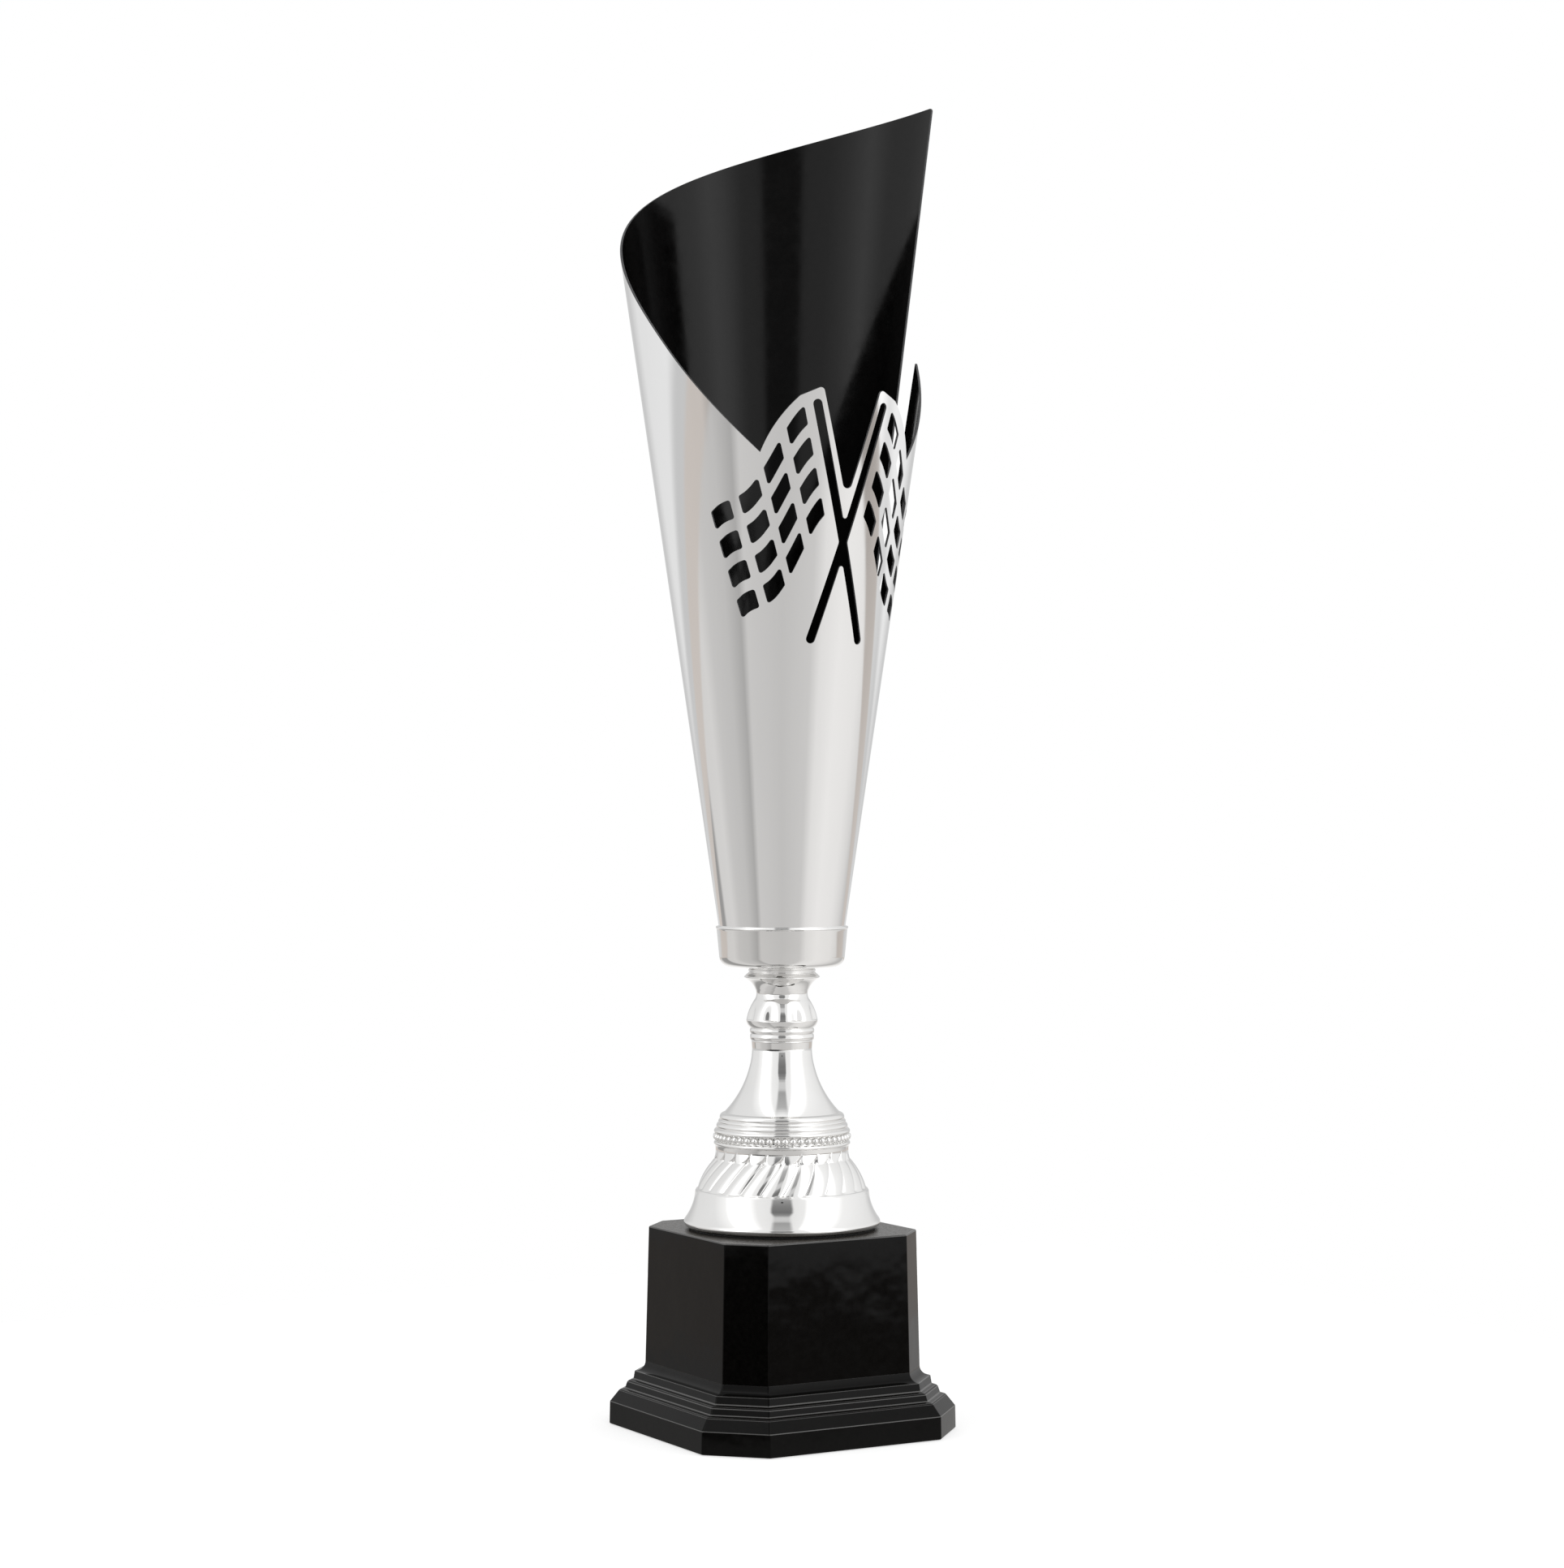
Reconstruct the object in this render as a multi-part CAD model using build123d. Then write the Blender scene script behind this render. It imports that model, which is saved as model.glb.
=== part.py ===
from build123d import *
import math
import os

# Cone cup trophy: plinth, riser and collar stacked on one tie rod, with a rolled sheet cone on top.
# Millimetres. The origin is the middle of the plinth's underside, +Z is up, the flags face -Y.

# Overall sizes
total_height = 450.0
foot_half_width = 48.6
plinth_top_z = 66.7

# Plinth wall profile: (half width over flats, height), from the table upwards
plinth_levels = [
    (foot_half_width, 0.0),
    (48.4, 7.75),
    (45.8, 11.4),
    (43.8, 12.2),
    (43.25, 14.2),
    (41.35, 15.25),
    (41.0, 17.9),
    (39.2, 18.7),
    (38.2, 19.7),
    (37.85, 20.9),
    (36.8, 65.9),
    (36.0, 66.7),
]
plinth_cavity_levels = [(46.0, 0.0), (45.3, 6.0), (35.6, 18.0), (34.4, 64.2)]
corner_leg_at_top = 10.45
corner_leg_growth = 0.477
rod_hole_radius = 3.3
boss_radius = 7.5
rib_thickness = 2.4

# Weight, pad and clamp hardware
weight_half_width = 34.0
weight_bottom_z = 11.0
weight_top_z = 16.0
pad_half_width = 45.8
pad_thickness = 1.5
rod_radius = 3.0
rod_bottom_z = 2.2
rod_top_z = 174.0
washer_radius = 9.0
washer_thickness = 1.6
lock_washer_radius = 5.9
lock_washer_thickness = 1.6
lock_washer_split = 1.0
nut_across_flats = 10.0
nut_height = 5.0

# Riser
gasket_thickness = 0.6
gasket_radius = 31.2
riser_foot_z = plinth_top_z + gasket_thickness
bead_count = 53
bead_radius = 1.25
bead_ring_radius = 22.0
bead_ring_z = 97.6
gadroon_count = 24
gadroon_depth = 0.7
gadroon_twist = 16.0
knob_joint_z = 129.9
petal_count = 8
petal_turn = -27.3
dimple_radius = 4.5
dimple_ring_radius = 15.5
dimple_z = 138.4
collar_joint_z = 152.2

# Collar
collar_floor_z = 156.6
collar_top_z = 168.2
seat_clearance = 0.08

# Cone
cone_apex_z = 23.3
cone_slope = 0.1471
sheet_thickness = 0.8
cone_bottom_z = 156.7
cone_angle = math.atan(cone_slope)

# Flat pattern of the cone, measured from the cone's apex: u to the right, v up the front line
pole_cross_v = 274.6
pole_angle = 15.8
pole_up_length = 46.2
pole_down_length = 33.3
pole_slot_width = 3.1
pole_border = 2.0
notch_radius = 1.8
flag_tip = (-11.0, 324.9)
flag_tip_radius = 1.3
flag_shoulder = (-18.5, 321.3)
flag_side_middle = (-24.4, 314.1)
flag_side_foot = (-30.2, 302.0)

# Chequer cells: columns count away from the pole, rows count down it
cell_origin = (-17.98, 317.17)
cell_columns = [(-1.0, 4.25), (6.15, 10.75), (12.4, 18.5), (21.5, 28.2)]
cell_rows = 4
cell_pitch = 10.02
cell_height = 6.3
lean_at_pole = 15.55
lean_growth = 0.245
wave_fall = 1.29
wave_height = 3.785
wave_rate = 0.225
wave_start = -1.706
cell_corner_radius = 0.7

# Rim: a straight stretch beside each flag, then one long arc to the tall corner
rim_line_end = (68.2, 331.9)
rim_arc_middle = (160.0, 367.4)
rim_tall_corner = (270.2, 336.2)
rim_overlap_turn = 50.0
seam_turn = 92.0
seam_close_z = 215.0
seam_open_turn = 80.4
seam_open_z = 362.0


def flat_to_turn(u, v):
    """Turn in degrees from the front and height of a flat-pattern point once the sheet is rolled."""
    turn = math.degrees(math.atan2(u, v) / math.sin(cone_angle))
    height = cone_apex_z + math.hypot(u, v) * math.cos(cone_angle)
    return turn, height


def front_view(u, v):
    """Flat-pattern point as (x, z) of the rolled sheet seen from the front."""
    turn, height = flat_to_turn(u, v)
    radius = cone_slope * (height - cone_apex_z)
    return radius * math.sin(math.radians(turn)), height


def on_axis_side(radius, turn, height):
    """Point at a radius and a turn from the front."""
    angle = math.radians(turn)
    return Vector(radius * math.sin(angle), -radius * math.cos(angle), height)


def lathe(points, arcs=()):
    """Solid of revolution about Z from an (r, z) outline. arcs maps an edge's index to its middle point."""
    edges = []
    middles = dict(arcs)
    for index, start in enumerate(points):
        end = points[(index + 1) % len(points)]
        first = Vector(start[0], 0, start[1])
        last = Vector(end[0], 0, end[1])
        if index in middles:
            middle = middles[index]
            edges.append(Edge.make_three_point_arc(first, Vector(middle[0], 0, middle[1]), last))
        else:
            edges.append(Edge.make_line(first, last))
    section = Face(Wire(edges))
    return Solid.revolve(section, 360, Axis.Z)


def tube(outer_radius, inner_radius, bottom_z, top_z):
    height = top_z - bottom_z
    ring = Solid.make_cylinder(outer_radius, height) - Solid.make_cylinder(inner_radius, height)
    return Pos(0, 0, bottom_z) * ring


def octagon_corners(half_width, z):
    """Corners of a square with its own corners cut off. The cut grows with the width."""
    leg = corner_leg_at_top + corner_leg_growth * (half_width - plinth_levels[-2][0])
    near = half_width - leg
    corners = [
        (half_width, -near),
        (half_width, near),
        (near, half_width),
        (-near, half_width),
        (-half_width, near),
        (-half_width, -near),
        (-near, -half_width),
        (near, -half_width),
    ]
    return [Vector(x, y, z) for x, y in corners]


def flat_polygon(corners):
    return Face(Wire.make_polygon(corners, close=True))


def octagon_prism(half_width, bottom_z, top_z):
    face = flat_polygon(octagon_corners(half_width, bottom_z))
    return Solid.extrude(face, Vector(0, 0, top_z - bottom_z))


def octagon_stack(levels):
    """Solid through octagons at several levels, with a plane face between each pair of edges."""
    rings = [octagon_corners(half_width, z) for half_width, z in levels]
    faces = [flat_polygon(rings[0]), flat_polygon(rings[-1])]
    for lower, upper in zip(rings, rings[1:]):
        for k in range(len(lower)):
            following = (k + 1) % len(lower)
            faces.append(flat_polygon([lower[k], lower[following], upper[following], upper[k]]))
    return Solid(Shell(faces))


def base_shell():
    outside = octagon_stack(plinth_levels)
    cavity = octagon_stack(plinth_cavity_levels)
    shell = outside - cavity
    cavity_top_z = plinth_cavity_levels[-1][1]
    rib_height = cavity_top_z + 1.0 - weight_top_z
    rib_length = 2 * plinth_cavity_levels[-1][0] + 2.0
    across = Pos(0, 0, weight_top_z + rib_height / 2) * Box(rib_length, rib_thickness, rib_height)
    along = Pos(0, 0, weight_top_z + rib_height / 2) * Box(rib_thickness, rib_length, rib_height)
    boss = Pos(0, 0, weight_top_z) * Solid.make_cylinder(boss_radius, rib_height)
    shell = shell + across + along + boss
    bore = Solid.make_cylinder(rod_hole_radius, plinth_top_z + 1.0)
    return shell - bore


def ballast_plate():
    plate = octagon_prism(weight_half_width, weight_bottom_z, weight_top_z)
    return plate - Solid.make_cylinder(rod_hole_radius, weight_top_z + 1)


def bottom_pad():
    return octagon_prism(pad_half_width, 0.0, pad_thickness)


def tie_rod():
    """Plain rod at the thread's outer size, with chamfered ends."""
    chamfer = 0.6
    return lathe(
        [
            (0.0, rod_bottom_z),
            (rod_radius - chamfer, rod_bottom_z),
            (rod_radius, rod_bottom_z + chamfer),
            (rod_radius, rod_top_z - chamfer),
            (rod_radius - chamfer, rod_top_z),
            (0.0, rod_top_z),
        ]
    )


def flat_washer(bottom_z):
    return tube(washer_radius, rod_hole_radius, bottom_z, bottom_z + washer_thickness)


def lock_washer(bottom_z):
    ring = tube(lock_washer_radius, rod_hole_radius, bottom_z, bottom_z + lock_washer_thickness)
    middle_z = bottom_z + lock_washer_thickness / 2
    slot_box = Box(lock_washer_radius * 2, lock_washer_split, lock_washer_thickness * 3)
    slot = Pos(lock_washer_radius, 0, middle_z) * Rot(18, 0, 0) * slot_box
    return ring - slot


def hex_nut(bottom_z):
    """Hexagon with both faces chamfered to the circle through its flats."""
    corner_radius = nut_across_flats / math.sqrt(3)
    corners = [on_axis_side(corner_radius, 60 * k, bottom_z) for k in range(6)]
    hexagon = Solid.extrude(Face(Wire.make_polygon(corners, close=True)), Vector(0, 0, nut_height))
    flat_radius = nut_across_flats / 2
    rise = (corner_radius + 0.4 - flat_radius) * math.tan(math.radians(30))
    top_z = bottom_z + nut_height
    crown = lathe(
        [
            (rod_radius, bottom_z),
            (flat_radius, bottom_z),
            (corner_radius + 0.4, bottom_z + rise),
            (corner_radius + 0.4, top_z - rise),
            (flat_radius, top_z),
            (rod_radius, top_z),
        ]
    )
    return hexagon & crown


def riser_gasket():
    return tube(gasket_radius, rod_hole_radius, plinth_top_z, riser_foot_z)


def gadroon_wire(radius, z, turn):
    """Ring of outward lobes, one per gadroon."""
    edges = []
    step = 360 / gadroon_count
    for k in range(gadroon_count):
        start = turn + k * step
        first = on_axis_side(radius - gadroon_depth, start, z)
        middle = on_axis_side(radius, start + step / 2, z)
        last = on_axis_side(radius - gadroon_depth, start + step, z)
        edges.append(Edge.make_three_point_arc(first, middle, last))
    return Wire(edges)


def riser_bell():
    outline = [
        (rod_hole_radius, riser_foot_z),
        (31.7, riser_foot_z),
        (32.7, 70.0),
        (29.2, 79.4),
        (28.8, 80.0),
        (27.8, 80.2),
        (22.0, 90.2),
        (22.4, 91.8),
        (22.4, 94.6),
        (22.9, 95.0),
        (22.7, 96.0),
        (21.7, 96.2),
        (21.7, 99.0),
        (22.9, 99.2),
        (22.4, 100.2),
        (21.8, 100.4),
        (21.35, 102.3),
        (20.8, 103.4),
        (19.9, 105.5),
        (19.4, 105.7),
        (10.85, 121.3),
        (10.1, 127.3),
        (10.3, knob_joint_z),
        (rod_hole_radius, knob_joint_z),
    ]
    arcs = {
        1: (33.0, 68.6),
        2: (30.45, 74.0),
        5: (26.0, 84.9),
        15: (22.1, 101.3),
        16: (21.4, 102.8),
        17: (20.85, 104.5),
        19: (14.2, 112.7),
        20: (10.25, 124.3),
    }
    body = lathe(outline, arcs)
    gadroons = Solid.make_loft(
        [
            gadroon_wire(28.5, 80.1, 0.0),
            gadroon_wire(27.5, 82.6, gadroon_twist * 0.25),
            gadroon_wire(25.6, 86.0, gadroon_twist * 0.52),
            gadroon_wire(22.7, 91.7, gadroon_twist),
        ]
    )
    gadroons = gadroons - Pos(0, 0, 70) * Solid.make_cylinder(15.0, 30)
    body = body + gadroons
    wall = 2.0
    cavity = lathe(
        [
            (5.6, riser_foot_z - 1),
            (31.3 - wall, riser_foot_z - 1),
            (31.3 - wall, 70.5),
            (29.5 - wall, 76.5),
            (21.4 - wall, 89.5),
            (20.9 - wall, 102.0),
            (8.6, 118.0),
            (5.6, 120.0),
        ]
    )
    body = body - cavity
    step = 360 / bead_count
    beads = []
    for k in range(bead_count):
        centre = on_axis_side(bead_ring_radius, k * step, bead_ring_z)
        beads.append(Pos(centre.X, centre.Y, centre.Z) * Solid.make_sphere(bead_radius, angle1=-90, angle2=90))
    return body.fuse(*beads)


def riser_knob():
    outline = [
        (rod_hole_radius, knob_joint_z),
        (10.3, knob_joint_z),
        (10.6, 130.1),
        (10.6, 131.9),
        (10.45, 132.1),
        (10.65, 132.3),
        (10.7, 133.8),
        (10.5, 134.0),
        (10.9, 134.3),
        (11.95, 137.2),
        (9.2, 143.6),
        (9.0, 147.1),
        (12.45, 150.9),
        (12.45, 151.5),
        (11.8, collar_joint_z),
        (rod_hole_radius, collar_joint_z),
    ]
    arcs = {
        2: (10.75, 131.0),
        5: (10.85, 133.0),
        8: (11.75, 135.6),
        9: (10.95, 140.5),
        10: (8.6, 145.4),
        11: (10.3, 149.2),
        12: (12.7, 151.2),
    }
    knob = lathe(outline, arcs)
    step = 360 / petal_count
    dimples = []
    for k in range(petal_count):
        centre = on_axis_side(dimple_ring_radius, petal_turn + (k + 0.5) * step, dimple_z)
        dimples.append(Pos(centre.X, centre.Y, centre.Z) * Solid.make_sphere(dimple_radius, angle1=-90, angle2=90))
    return knob.cut(*dimples)


def cone_outer_radius(z):
    return cone_slope * (z - cone_apex_z)


def cone_inner_radius(z):
    return cone_outer_radius(z) - sheet_thickness / math.cos(cone_angle)


def cup_collar():
    floor_seat = cone_outer_radius(collar_floor_z) + seat_clearance
    top_seat = cone_outer_radius(collar_top_z) + seat_clearance
    outline = [
        (rod_hole_radius, collar_joint_z),
        (11.8, collar_joint_z),
        (11.0, 152.9),
        (11.0, 153.9),
        (10.9, 154.1),
        (12.4, 154.35),
        (18.2, 154.8),
        (21.15, 158.2),
        (22.0, 167.4),
        (22.25, 167.6),
        (22.25, collar_top_z),
        (top_seat, collar_top_z),
        (floor_seat, collar_floor_z),
        (rod_hole_radius, collar_floor_z),
    ]
    arcs = {2: (11.3, 153.4), 6: (20.3, 156.0)}
    return lathe(outline, arcs)


def clamp_disc():
    bottom_z = collar_floor_z + 1.2
    top_z = 166.0
    recess_z = 162.0
    wedge_gap = 0.05
    outline = [
        (rod_hole_radius, bottom_z),
        (cone_inner_radius(bottom_z) - wedge_gap, bottom_z),
        (cone_inner_radius(top_z) - wedge_gap, top_z),
        (14.5, top_z),
        (13.5, recess_z),
        (rod_hole_radius, recess_z),
    ]
    return lathe(outline)


def slot_cutter(lean):
    """Long round-ended slot for a flag pole, cut from the front. lean is degrees from the front line."""
    side = math.sin(math.radians(lean))
    up = math.cos(math.radians(lean))
    half = pole_slot_width / 2
    top = (pole_up_length * side, pole_cross_v + pole_up_length * up)
    foot = (-pole_down_length * side, pole_cross_v - pole_down_length * up)
    stations = [
        (top[0] - half * up, top[1] + half * side),
        (top[0] + half * side, top[1] + half * up),
        (top[0] + half * up, top[1] - half * side),
        (foot[0] + half * up, foot[1] - half * side),
        (foot[0] - half * side, foot[1] - half * up),
        (foot[0] - half * up, foot[1] + half * side),
    ]
    points = [Vector(x, -80, z) for x, z in (front_view(u, v) for u, v in stations)]
    edges = [
        Edge.make_three_point_arc(points[0], points[1], points[2]),
        Edge.make_line(points[2], points[3]),
        Edge.make_three_point_arc(points[3], points[4], points[5]),
        Edge.make_line(points[5], points[0]),
    ]
    return Solid.extrude(Face(Wire(edges)), Vector(0, 76, 0))


def cell_point(away, down):
    """Flat-pattern point of the left flag, away from its pole and down along it, with the cloth's wave."""
    lean = math.radians(lean_at_pole + lean_growth * away)
    fall = wave_fall * away + wave_height * (math.sin(wave_rate * away + wave_start) - math.sin(wave_start))
    u = cell_origin[0] - away + down * math.sin(lean)
    v = cell_origin[1] - down * math.cos(lean) - fall
    return u, v


def cell_cutter(near, far, row, side):
    """Prism through one chequer cell, square to the sheet at the cell's middle. side is 1 or -1."""
    top = row * cell_pitch
    foot = top + cell_height
    between = (near + far) / 2
    ring = [
        cell_point(near, top),
        cell_point(between, top),
        cell_point(far, top),
        cell_point(far, foot),
        cell_point(between, foot),
        cell_point(near, foot),
    ]
    middle_u = sum(p[0] for p in ring) / len(ring)
    middle_v = sum(p[1] for p in ring) / len(ring)
    turn, height = flat_to_turn(side * middle_u, middle_v)
    swing = math.atan2(side * middle_u, middle_v)
    middle = on_axis_side(cone_outer_radius(height), turn, height)
    outward = on_axis_side(math.cos(cone_angle), turn, -math.sin(cone_angle))
    sideways = on_axis_side(1.0, turn + 90, 0.0)
    local = []
    for u, v in ring:
        du = side * (u - middle_u)
        dv = v - middle_v
        local.append((du * math.cos(swing) - dv * math.sin(swing), du * math.sin(swing) + dv * math.cos(swing)))
    edges = [
        Edge.make_three_point_arc(Vector(*local[0]), Vector(*local[1]), Vector(*local[2])),
        Edge.make_line(Vector(*local[2]), Vector(*local[3])),
        Edge.make_three_point_arc(Vector(*local[3]), Vector(*local[4]), Vector(*local[5])),
        Edge.make_line(Vector(*local[5]), Vector(*local[0])),
    ]
    face = Face(Wire(edges))
    if face.normal_at().Z < 0:
        face = -face
    face = face.fillet_2d(cell_corner_radius, face.vertices())
    depth = 5.0
    prism = Pos(0, 0, -depth / 2) * Solid.extrude(face, Vector(0, 0, depth))
    placed = Plane(origin=middle, x_dir=sideways, z_dir=outward)
    return placed.location * prism


def left_outline():
    """Left flag's edge from the notch to its tip, shoulder and foot, as flat-pattern points."""
    slope = math.tan(math.radians(pole_angle))
    offset = (pole_slot_width / 2 + pole_border) / math.cos(math.radians(pole_angle))
    notch_v = pole_cross_v + offset / slope
    return (0.0, notch_v), flag_tip, flag_shoulder, flag_side_middle, flag_side_foot


def flag_outline_cutter():
    """Everything above the two flags and the straight rim beside them, cut from the front."""
    notch, tip, shoulder, side_middle, side_foot = left_outline()
    run = rim_line_end[0] + side_foot[0]
    rise = rim_line_end[1] - side_foot[1]
    reach = 0.35
    rim_point = (side_foot[0] - reach * run, side_foot[1] + reach * rise)
    left = [front_view(u, v) for u, v in (notch, tip, shoulder, side_middle, side_foot, rim_point)]
    right = [(-x, z) for x, z in left]
    ceiling = total_height + 20
    reach_at_ceiling = 80.0

    def at(point):
        return Vector(point[0], -90, point[1])

    edges = [
        Edge.make_line(at(left[0]), at(left[1])),
        Edge.make_line(at(left[1]), at(left[2])),
        Edge.make_three_point_arc(at(left[2]), at(left[3]), at(left[4])),
        Edge.make_line(at(left[4]), at(left[5])),
        Edge.make_line(at(left[5]), at((-reach_at_ceiling, ceiling))),
        Edge.make_line(at((-reach_at_ceiling, ceiling)), at((reach_at_ceiling, ceiling))),
        Edge.make_line(at((reach_at_ceiling, ceiling)), at(right[5])),
        Edge.make_line(at(right[5]), at(right[4])),
        Edge.make_three_point_arc(at(right[4]), at(right[3]), at(right[2])),
        Edge.make_line(at(right[2]), at(right[1])),
        Edge.make_line(at(right[1]), at(right[0])),
    ]
    face = Face(Wire(edges))
    notch_corner = face.vertices().sort_by(Axis.Z)[0]
    face = face.fillet_2d(notch_radius, [notch_corner])
    tips = [v for v in face.vertices() if abs(abs(v.X) - abs(left[1][0])) < 0.3 and v.Z < ceiling - 1]
    face = face.fillet_2d(flag_tip_radius, tips)
    return Solid.extrude(face, Vector(0, 86, 0))


def rim_arc():
    """Centre and radius of the rim's long arc in the flat pattern."""
    (x1, y1), (x2, y2), (x3, y3) = rim_line_end, rim_arc_middle, rim_tall_corner
    d = 2 * (x1 * (y2 - y3) + x2 * (y3 - y1) + x3 * (y1 - y2))
    s1 = x1 * x1 + y1 * y1
    s2 = x2 * x2 + y2 * y2
    s3 = x3 * x3 + y3 * y3
    cx = (s1 * (y2 - y3) + s2 * (y3 - y1) + s3 * (y1 - y2)) / d
    cy = (s1 * (x3 - x2) + s2 * (x1 - x3) + s3 * (x2 - x1)) / d
    return (cx, cy), math.hypot(x1 - cx, y1 - cy)


def rim_stations():
    """(turn, height) along the rim on the tall side, from beside the flag to the tall corner."""
    foot = (-flag_side_foot[0], flag_side_foot[1])
    stations = []
    line_steps = 4
    for k in range(line_steps):
        share = k / line_steps
        u = foot[0] + share * (rim_line_end[0] - foot[0])
        v = foot[1] + share * (rim_line_end[1] - foot[1])
        stations.append(flat_to_turn(u, v))
    centre, radius = rim_arc()
    first = math.atan2(rim_line_end[1] - centre[1], rim_line_end[0] - centre[0])
    last = math.atan2(rim_tall_corner[1] - centre[1], rim_tall_corner[0] - centre[0])
    arc_steps = 14
    for k in range(arc_steps + 1):
        angle = first + (last - first) * k / arc_steps
        stations.append(flat_to_turn(centre[0] + radius * math.cos(angle), centre[1] + radius * math.sin(angle)))
    return stations


def ramp_cutter(side, last_turn):
    """Solid above the rim on one side. Its underside is ruled from near the axis outwards."""
    inner_radius = 4.0
    outer_radius = 100.0
    kept = [(t, z) for t, z in rim_stations() if rim_overlap_turn - 4 < t < last_turn]
    end_turn, end_z = kept[-1]
    if last_turn > end_turn + 0.5:
        before_turn, before_z = kept[-2]
        growth = (end_z - before_z) / (end_turn - before_turn)
        kept.append((last_turn, end_z + growth * (last_turn - end_turn)))
    inner = Edge.make_spline([on_axis_side(inner_radius, side * t, z) for t, z in kept])
    outer = Edge.make_spline([on_axis_side(outer_radius, side * t, z) for t, z in kept])
    floor_face = Face.make_surface_from_curves(inner, outer)
    return Solid.extrude(floor_face, Vector(0, 0, total_height))


def seam_cutter():
    """Narrow V between the two edges of the sheet at the seam."""
    middle_turn = (seam_turn + seam_open_turn) / 2
    low = on_axis_side(cone_outer_radius(seam_close_z), seam_turn, seam_close_z)
    high_z = seam_open_z + 60
    drift = (seam_turn - seam_open_turn) / (seam_open_z - seam_close_z)
    high_turn = seam_turn - drift * (high_z - seam_close_z)
    right = on_axis_side(cone_outer_radius(high_z), seam_turn, high_z)
    left = on_axis_side(cone_outer_radius(high_z), high_turn, high_z)
    face = Face(Wire.make_polygon([low, right, left], close=True))
    outward = on_axis_side(8.0, middle_turn, 0.0)
    face = Pos(*(-1 * outward)) * face
    return Solid.extrude(face, 2 * outward)


def cone_sheet():
    outer = Solid.make_cone(
        cone_outer_radius(cone_bottom_z),
        cone_outer_radius(total_height),
        total_height - cone_bottom_z,
    )
    inner = Solid.make_cone(
        cone_inner_radius(cone_bottom_z),
        cone_inner_radius(total_height),
        total_height - cone_bottom_z,
    )
    sheet = Pos(0, 0, cone_bottom_z) * (outer - inner)
    sheet = sheet - flag_outline_cutter()
    sheet = sheet - ramp_cutter(-1, 360 - seam_turn)
    sheet = sheet - ramp_cutter(1, seam_turn)
    sheet = sheet - seam_cutter()
    for lean in (-pole_angle, pole_angle):
        sheet = sheet - slot_cutter(lean)
    for side in (1, -1):
        for near, far in cell_columns:
            for row in range(cell_rows):
                sheet = sheet - cell_cutter(near, far, row, side)
    return sheet


def write(shape, node):
    solids = shape.solids()
    biggest = solids.sort_by(SortBy.VOLUME)[-1]
    export_step(biggest, f"parts/{node}.step")
    print(node, len(solids), round(biggest.volume), biggest.bounding_box())


os.makedirs("parts", exist_ok=True)

bottom_washer_z = weight_bottom_z - washer_thickness
bottom_lock_z = bottom_washer_z - lock_washer_thickness
bottom_nut_z = bottom_lock_z - nut_height
top_washer_z = 162.0
top_lock_z = top_washer_z + washer_thickness
top_nut_z = top_lock_z + lock_washer_thickness

write(base_shell(), "base_shell")
write(ballast_plate(), "ballast_plate")
write(bottom_pad(), "bottom_pad")
write(tie_rod(), "tie_rod")
write(flat_washer(bottom_washer_z), "bottom_washer")
write(lock_washer(bottom_lock_z), "bottom_lock_washer")
write(hex_nut(bottom_nut_z), "bottom_nut")
write(riser_gasket(), "riser_gasket")
write(riser_bell(), "riser_bell")
write(riser_knob(), "riser_knob")
write(cup_collar(), "cup_collar")
write(clamp_disc(), "clamp_disc")
write(flat_washer(top_washer_z), "top_washer")
write(lock_washer(top_lock_z), "top_lock_washer")
write(hex_nut(top_nut_z), "top_nut")
write(cone_sheet(), "cone_sheet")
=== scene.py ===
import math

import bpy
import numpy as np
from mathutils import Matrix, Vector
from mathutils.geometry import delaunay_2d_cdt


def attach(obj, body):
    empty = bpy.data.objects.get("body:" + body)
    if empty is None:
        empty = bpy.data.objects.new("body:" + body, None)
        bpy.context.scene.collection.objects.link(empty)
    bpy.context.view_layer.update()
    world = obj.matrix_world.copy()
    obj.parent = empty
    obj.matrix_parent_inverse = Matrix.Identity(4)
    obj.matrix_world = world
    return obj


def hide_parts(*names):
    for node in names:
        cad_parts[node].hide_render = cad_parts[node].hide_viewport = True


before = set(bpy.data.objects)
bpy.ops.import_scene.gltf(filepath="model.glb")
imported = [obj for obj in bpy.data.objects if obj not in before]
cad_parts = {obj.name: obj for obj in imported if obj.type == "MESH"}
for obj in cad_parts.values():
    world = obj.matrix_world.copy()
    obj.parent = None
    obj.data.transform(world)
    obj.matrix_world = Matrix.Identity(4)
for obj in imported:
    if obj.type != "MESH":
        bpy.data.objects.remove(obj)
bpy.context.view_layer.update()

MM = 0.001

# ---------------------------------------------------------------- cone sheet, as a flat pattern in mm
CONE_APEX_Z = 23.3
CONE_SLOPE = 0.1471
CONE_ANGLE = math.atan(CONE_SLOPE)
SHEET = 0.8
CONE_BOTTOM_Z = 156.7

POLE_CROSS_V = 274.6
POLE_ANGLE = math.radians(15.8)
POLE_UP, POLE_DOWN = 46.2, 33.3
SLOT_WIDTH = 3.1
POLE_BORDER = 2.0
NOTCH_RADIUS = 1.8
CROTCH_RADIUS = 0.8
SIDE_CROTCH_RADIUS = 2.0
FLAG_TIP = (-11.0, 324.9)
FLAG_TIP_RADIUS = 1.3
FLAG_SHOULDER = (-18.5, 321.3)
FLAG_SIDE = (-24.4, 314.1)
FLAG_FOOT = (-30.2, 302.0)

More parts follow.
